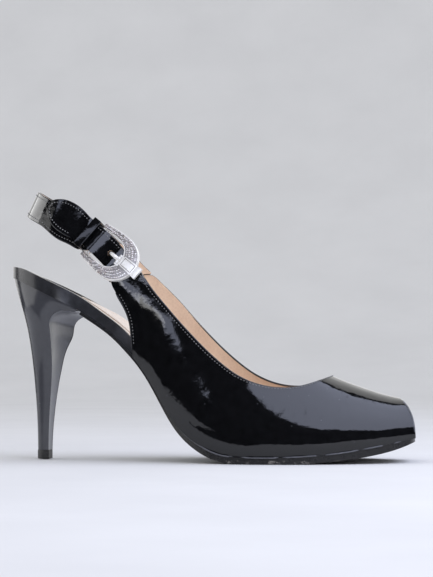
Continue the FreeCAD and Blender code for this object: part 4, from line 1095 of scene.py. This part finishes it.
def softbox(name, place, look_at, size, radiance, colour, lights_floor):
    """Rectangular area light; its power follows from the radiance seen in a mirror."""
    data = bpy.data.lights.new(name, "AREA")
    data.shape = "RECTANGLE"
    data.size, data.size_y = size
    data.energy = radiance * math.pi * size[0] * size[1]
    data.color = colour
    light = bpy.data.objects.new(name, data)
    bpy.context.scene.collection.objects.link(light)
    light.location = place
    light.rotation_euler = (Vector(look_at) - Vector(place)).to_track_quat("-Z", "Y").to_euler()
    light.visible_camera = False
    light.visible_diffuse = lights_floor


# name, place, aimed at, size, radiance, colour, whether it lights matt surfaces
COOL = (0.80, 0.86, 1.10)
WHITE = (1.0, 1.0, 1.0)
LIGHTS = (
    ("overhead", (0.72, -0.24, 0.725), (0.72, -0.24, 0.0), (0.87, 1.09), 2.6, COOL, True),
    ("behind", (0.0, 0.95, 0.84), (0.0, 0.0, 0.84), (2.6, 1.66), 1.05, WHITE, False),
    ("back_left", (-0.78, 0.20, 0.40), (-0.06, 0.0, 0.12), (0.72, 0.42), 3.4, WHITE, False),
    ("left", (-0.36, -0.06, 0.11), (-0.09, -0.03, 0.07), (0.30, 0.22), 1.5, WHITE, False),
    # small cards close to the leather, each placed for one highlight
    ("quarter_card", (-0.065, -0.144, 0.077), (-0.020, -0.031, 0.066), (0.036, 0.018), 2.3, COOL, False),
    ("ear_card", (-0.080, -0.129, 0.077), (-0.036, -0.029, 0.083), (0.018, 0.009), 3.6, WHITE, False),
    ("window_card", (-0.039, -0.109, 0.118), (-0.05, -0.03, 0.110), (0.050, 0.040), 2.8, COOL, False),
    ("strap_card", (-0.122, -0.126, 0.168), (-0.068, -0.028, 0.126), (0.100, 0.016), 1.8, COOL, False),
)


def build_lights():
    world = bpy.data.worlds.new("studio")
    bpy.context.scene.world = world
    world.use_nodes = True
    background = world.node_tree.nodes["Background"]
    background.inputs["Color"].default_value = (0.86, 0.87, 0.89, 1.0)
    background.inputs["Strength"].default_value = 1.0
    world.cycles_visibility.glossy = False
    for name, place, look_at, size, radiance, colour, lights_floor in LIGHTS:
        softbox(name, place, look_at, size, radiance, colour, lights_floor)


def build_camera():
    """Camera a little to the toe's side of the shoe, just above the floor."""
    target = Vector((2.0, 0.0, 87.1)) * MM
    azimuth = math.radians(9.0)
    elevation = math.radians(-1.6)
    distance = 1.100
    back = Vector((math.sin(azimuth) * math.cos(elevation), -math.cos(azimuth) * math.cos(elevation),
                   math.sin(elevation)))
    data = bpy.data.cameras.new("camera")
    camera = bpy.data.objects.new("camera", data)
    bpy.context.scene.collection.objects.link(camera)
    camera.location = target + back * distance
    camera.rotation_euler = (-back).to_track_quat("-Z", "Y").to_euler()
    data.sensor_fit = "VERTICAL"
    data.sensor_height = 36.0
    data.lens = 134.57
    data.clip_start = 0.01
    data.clip_end = 50.0
    bpy.context.scene.camera = camera


build_stage()
build_lights()
build_camera()
bpy.context.scene.view_settings.view_transform = "Standard"
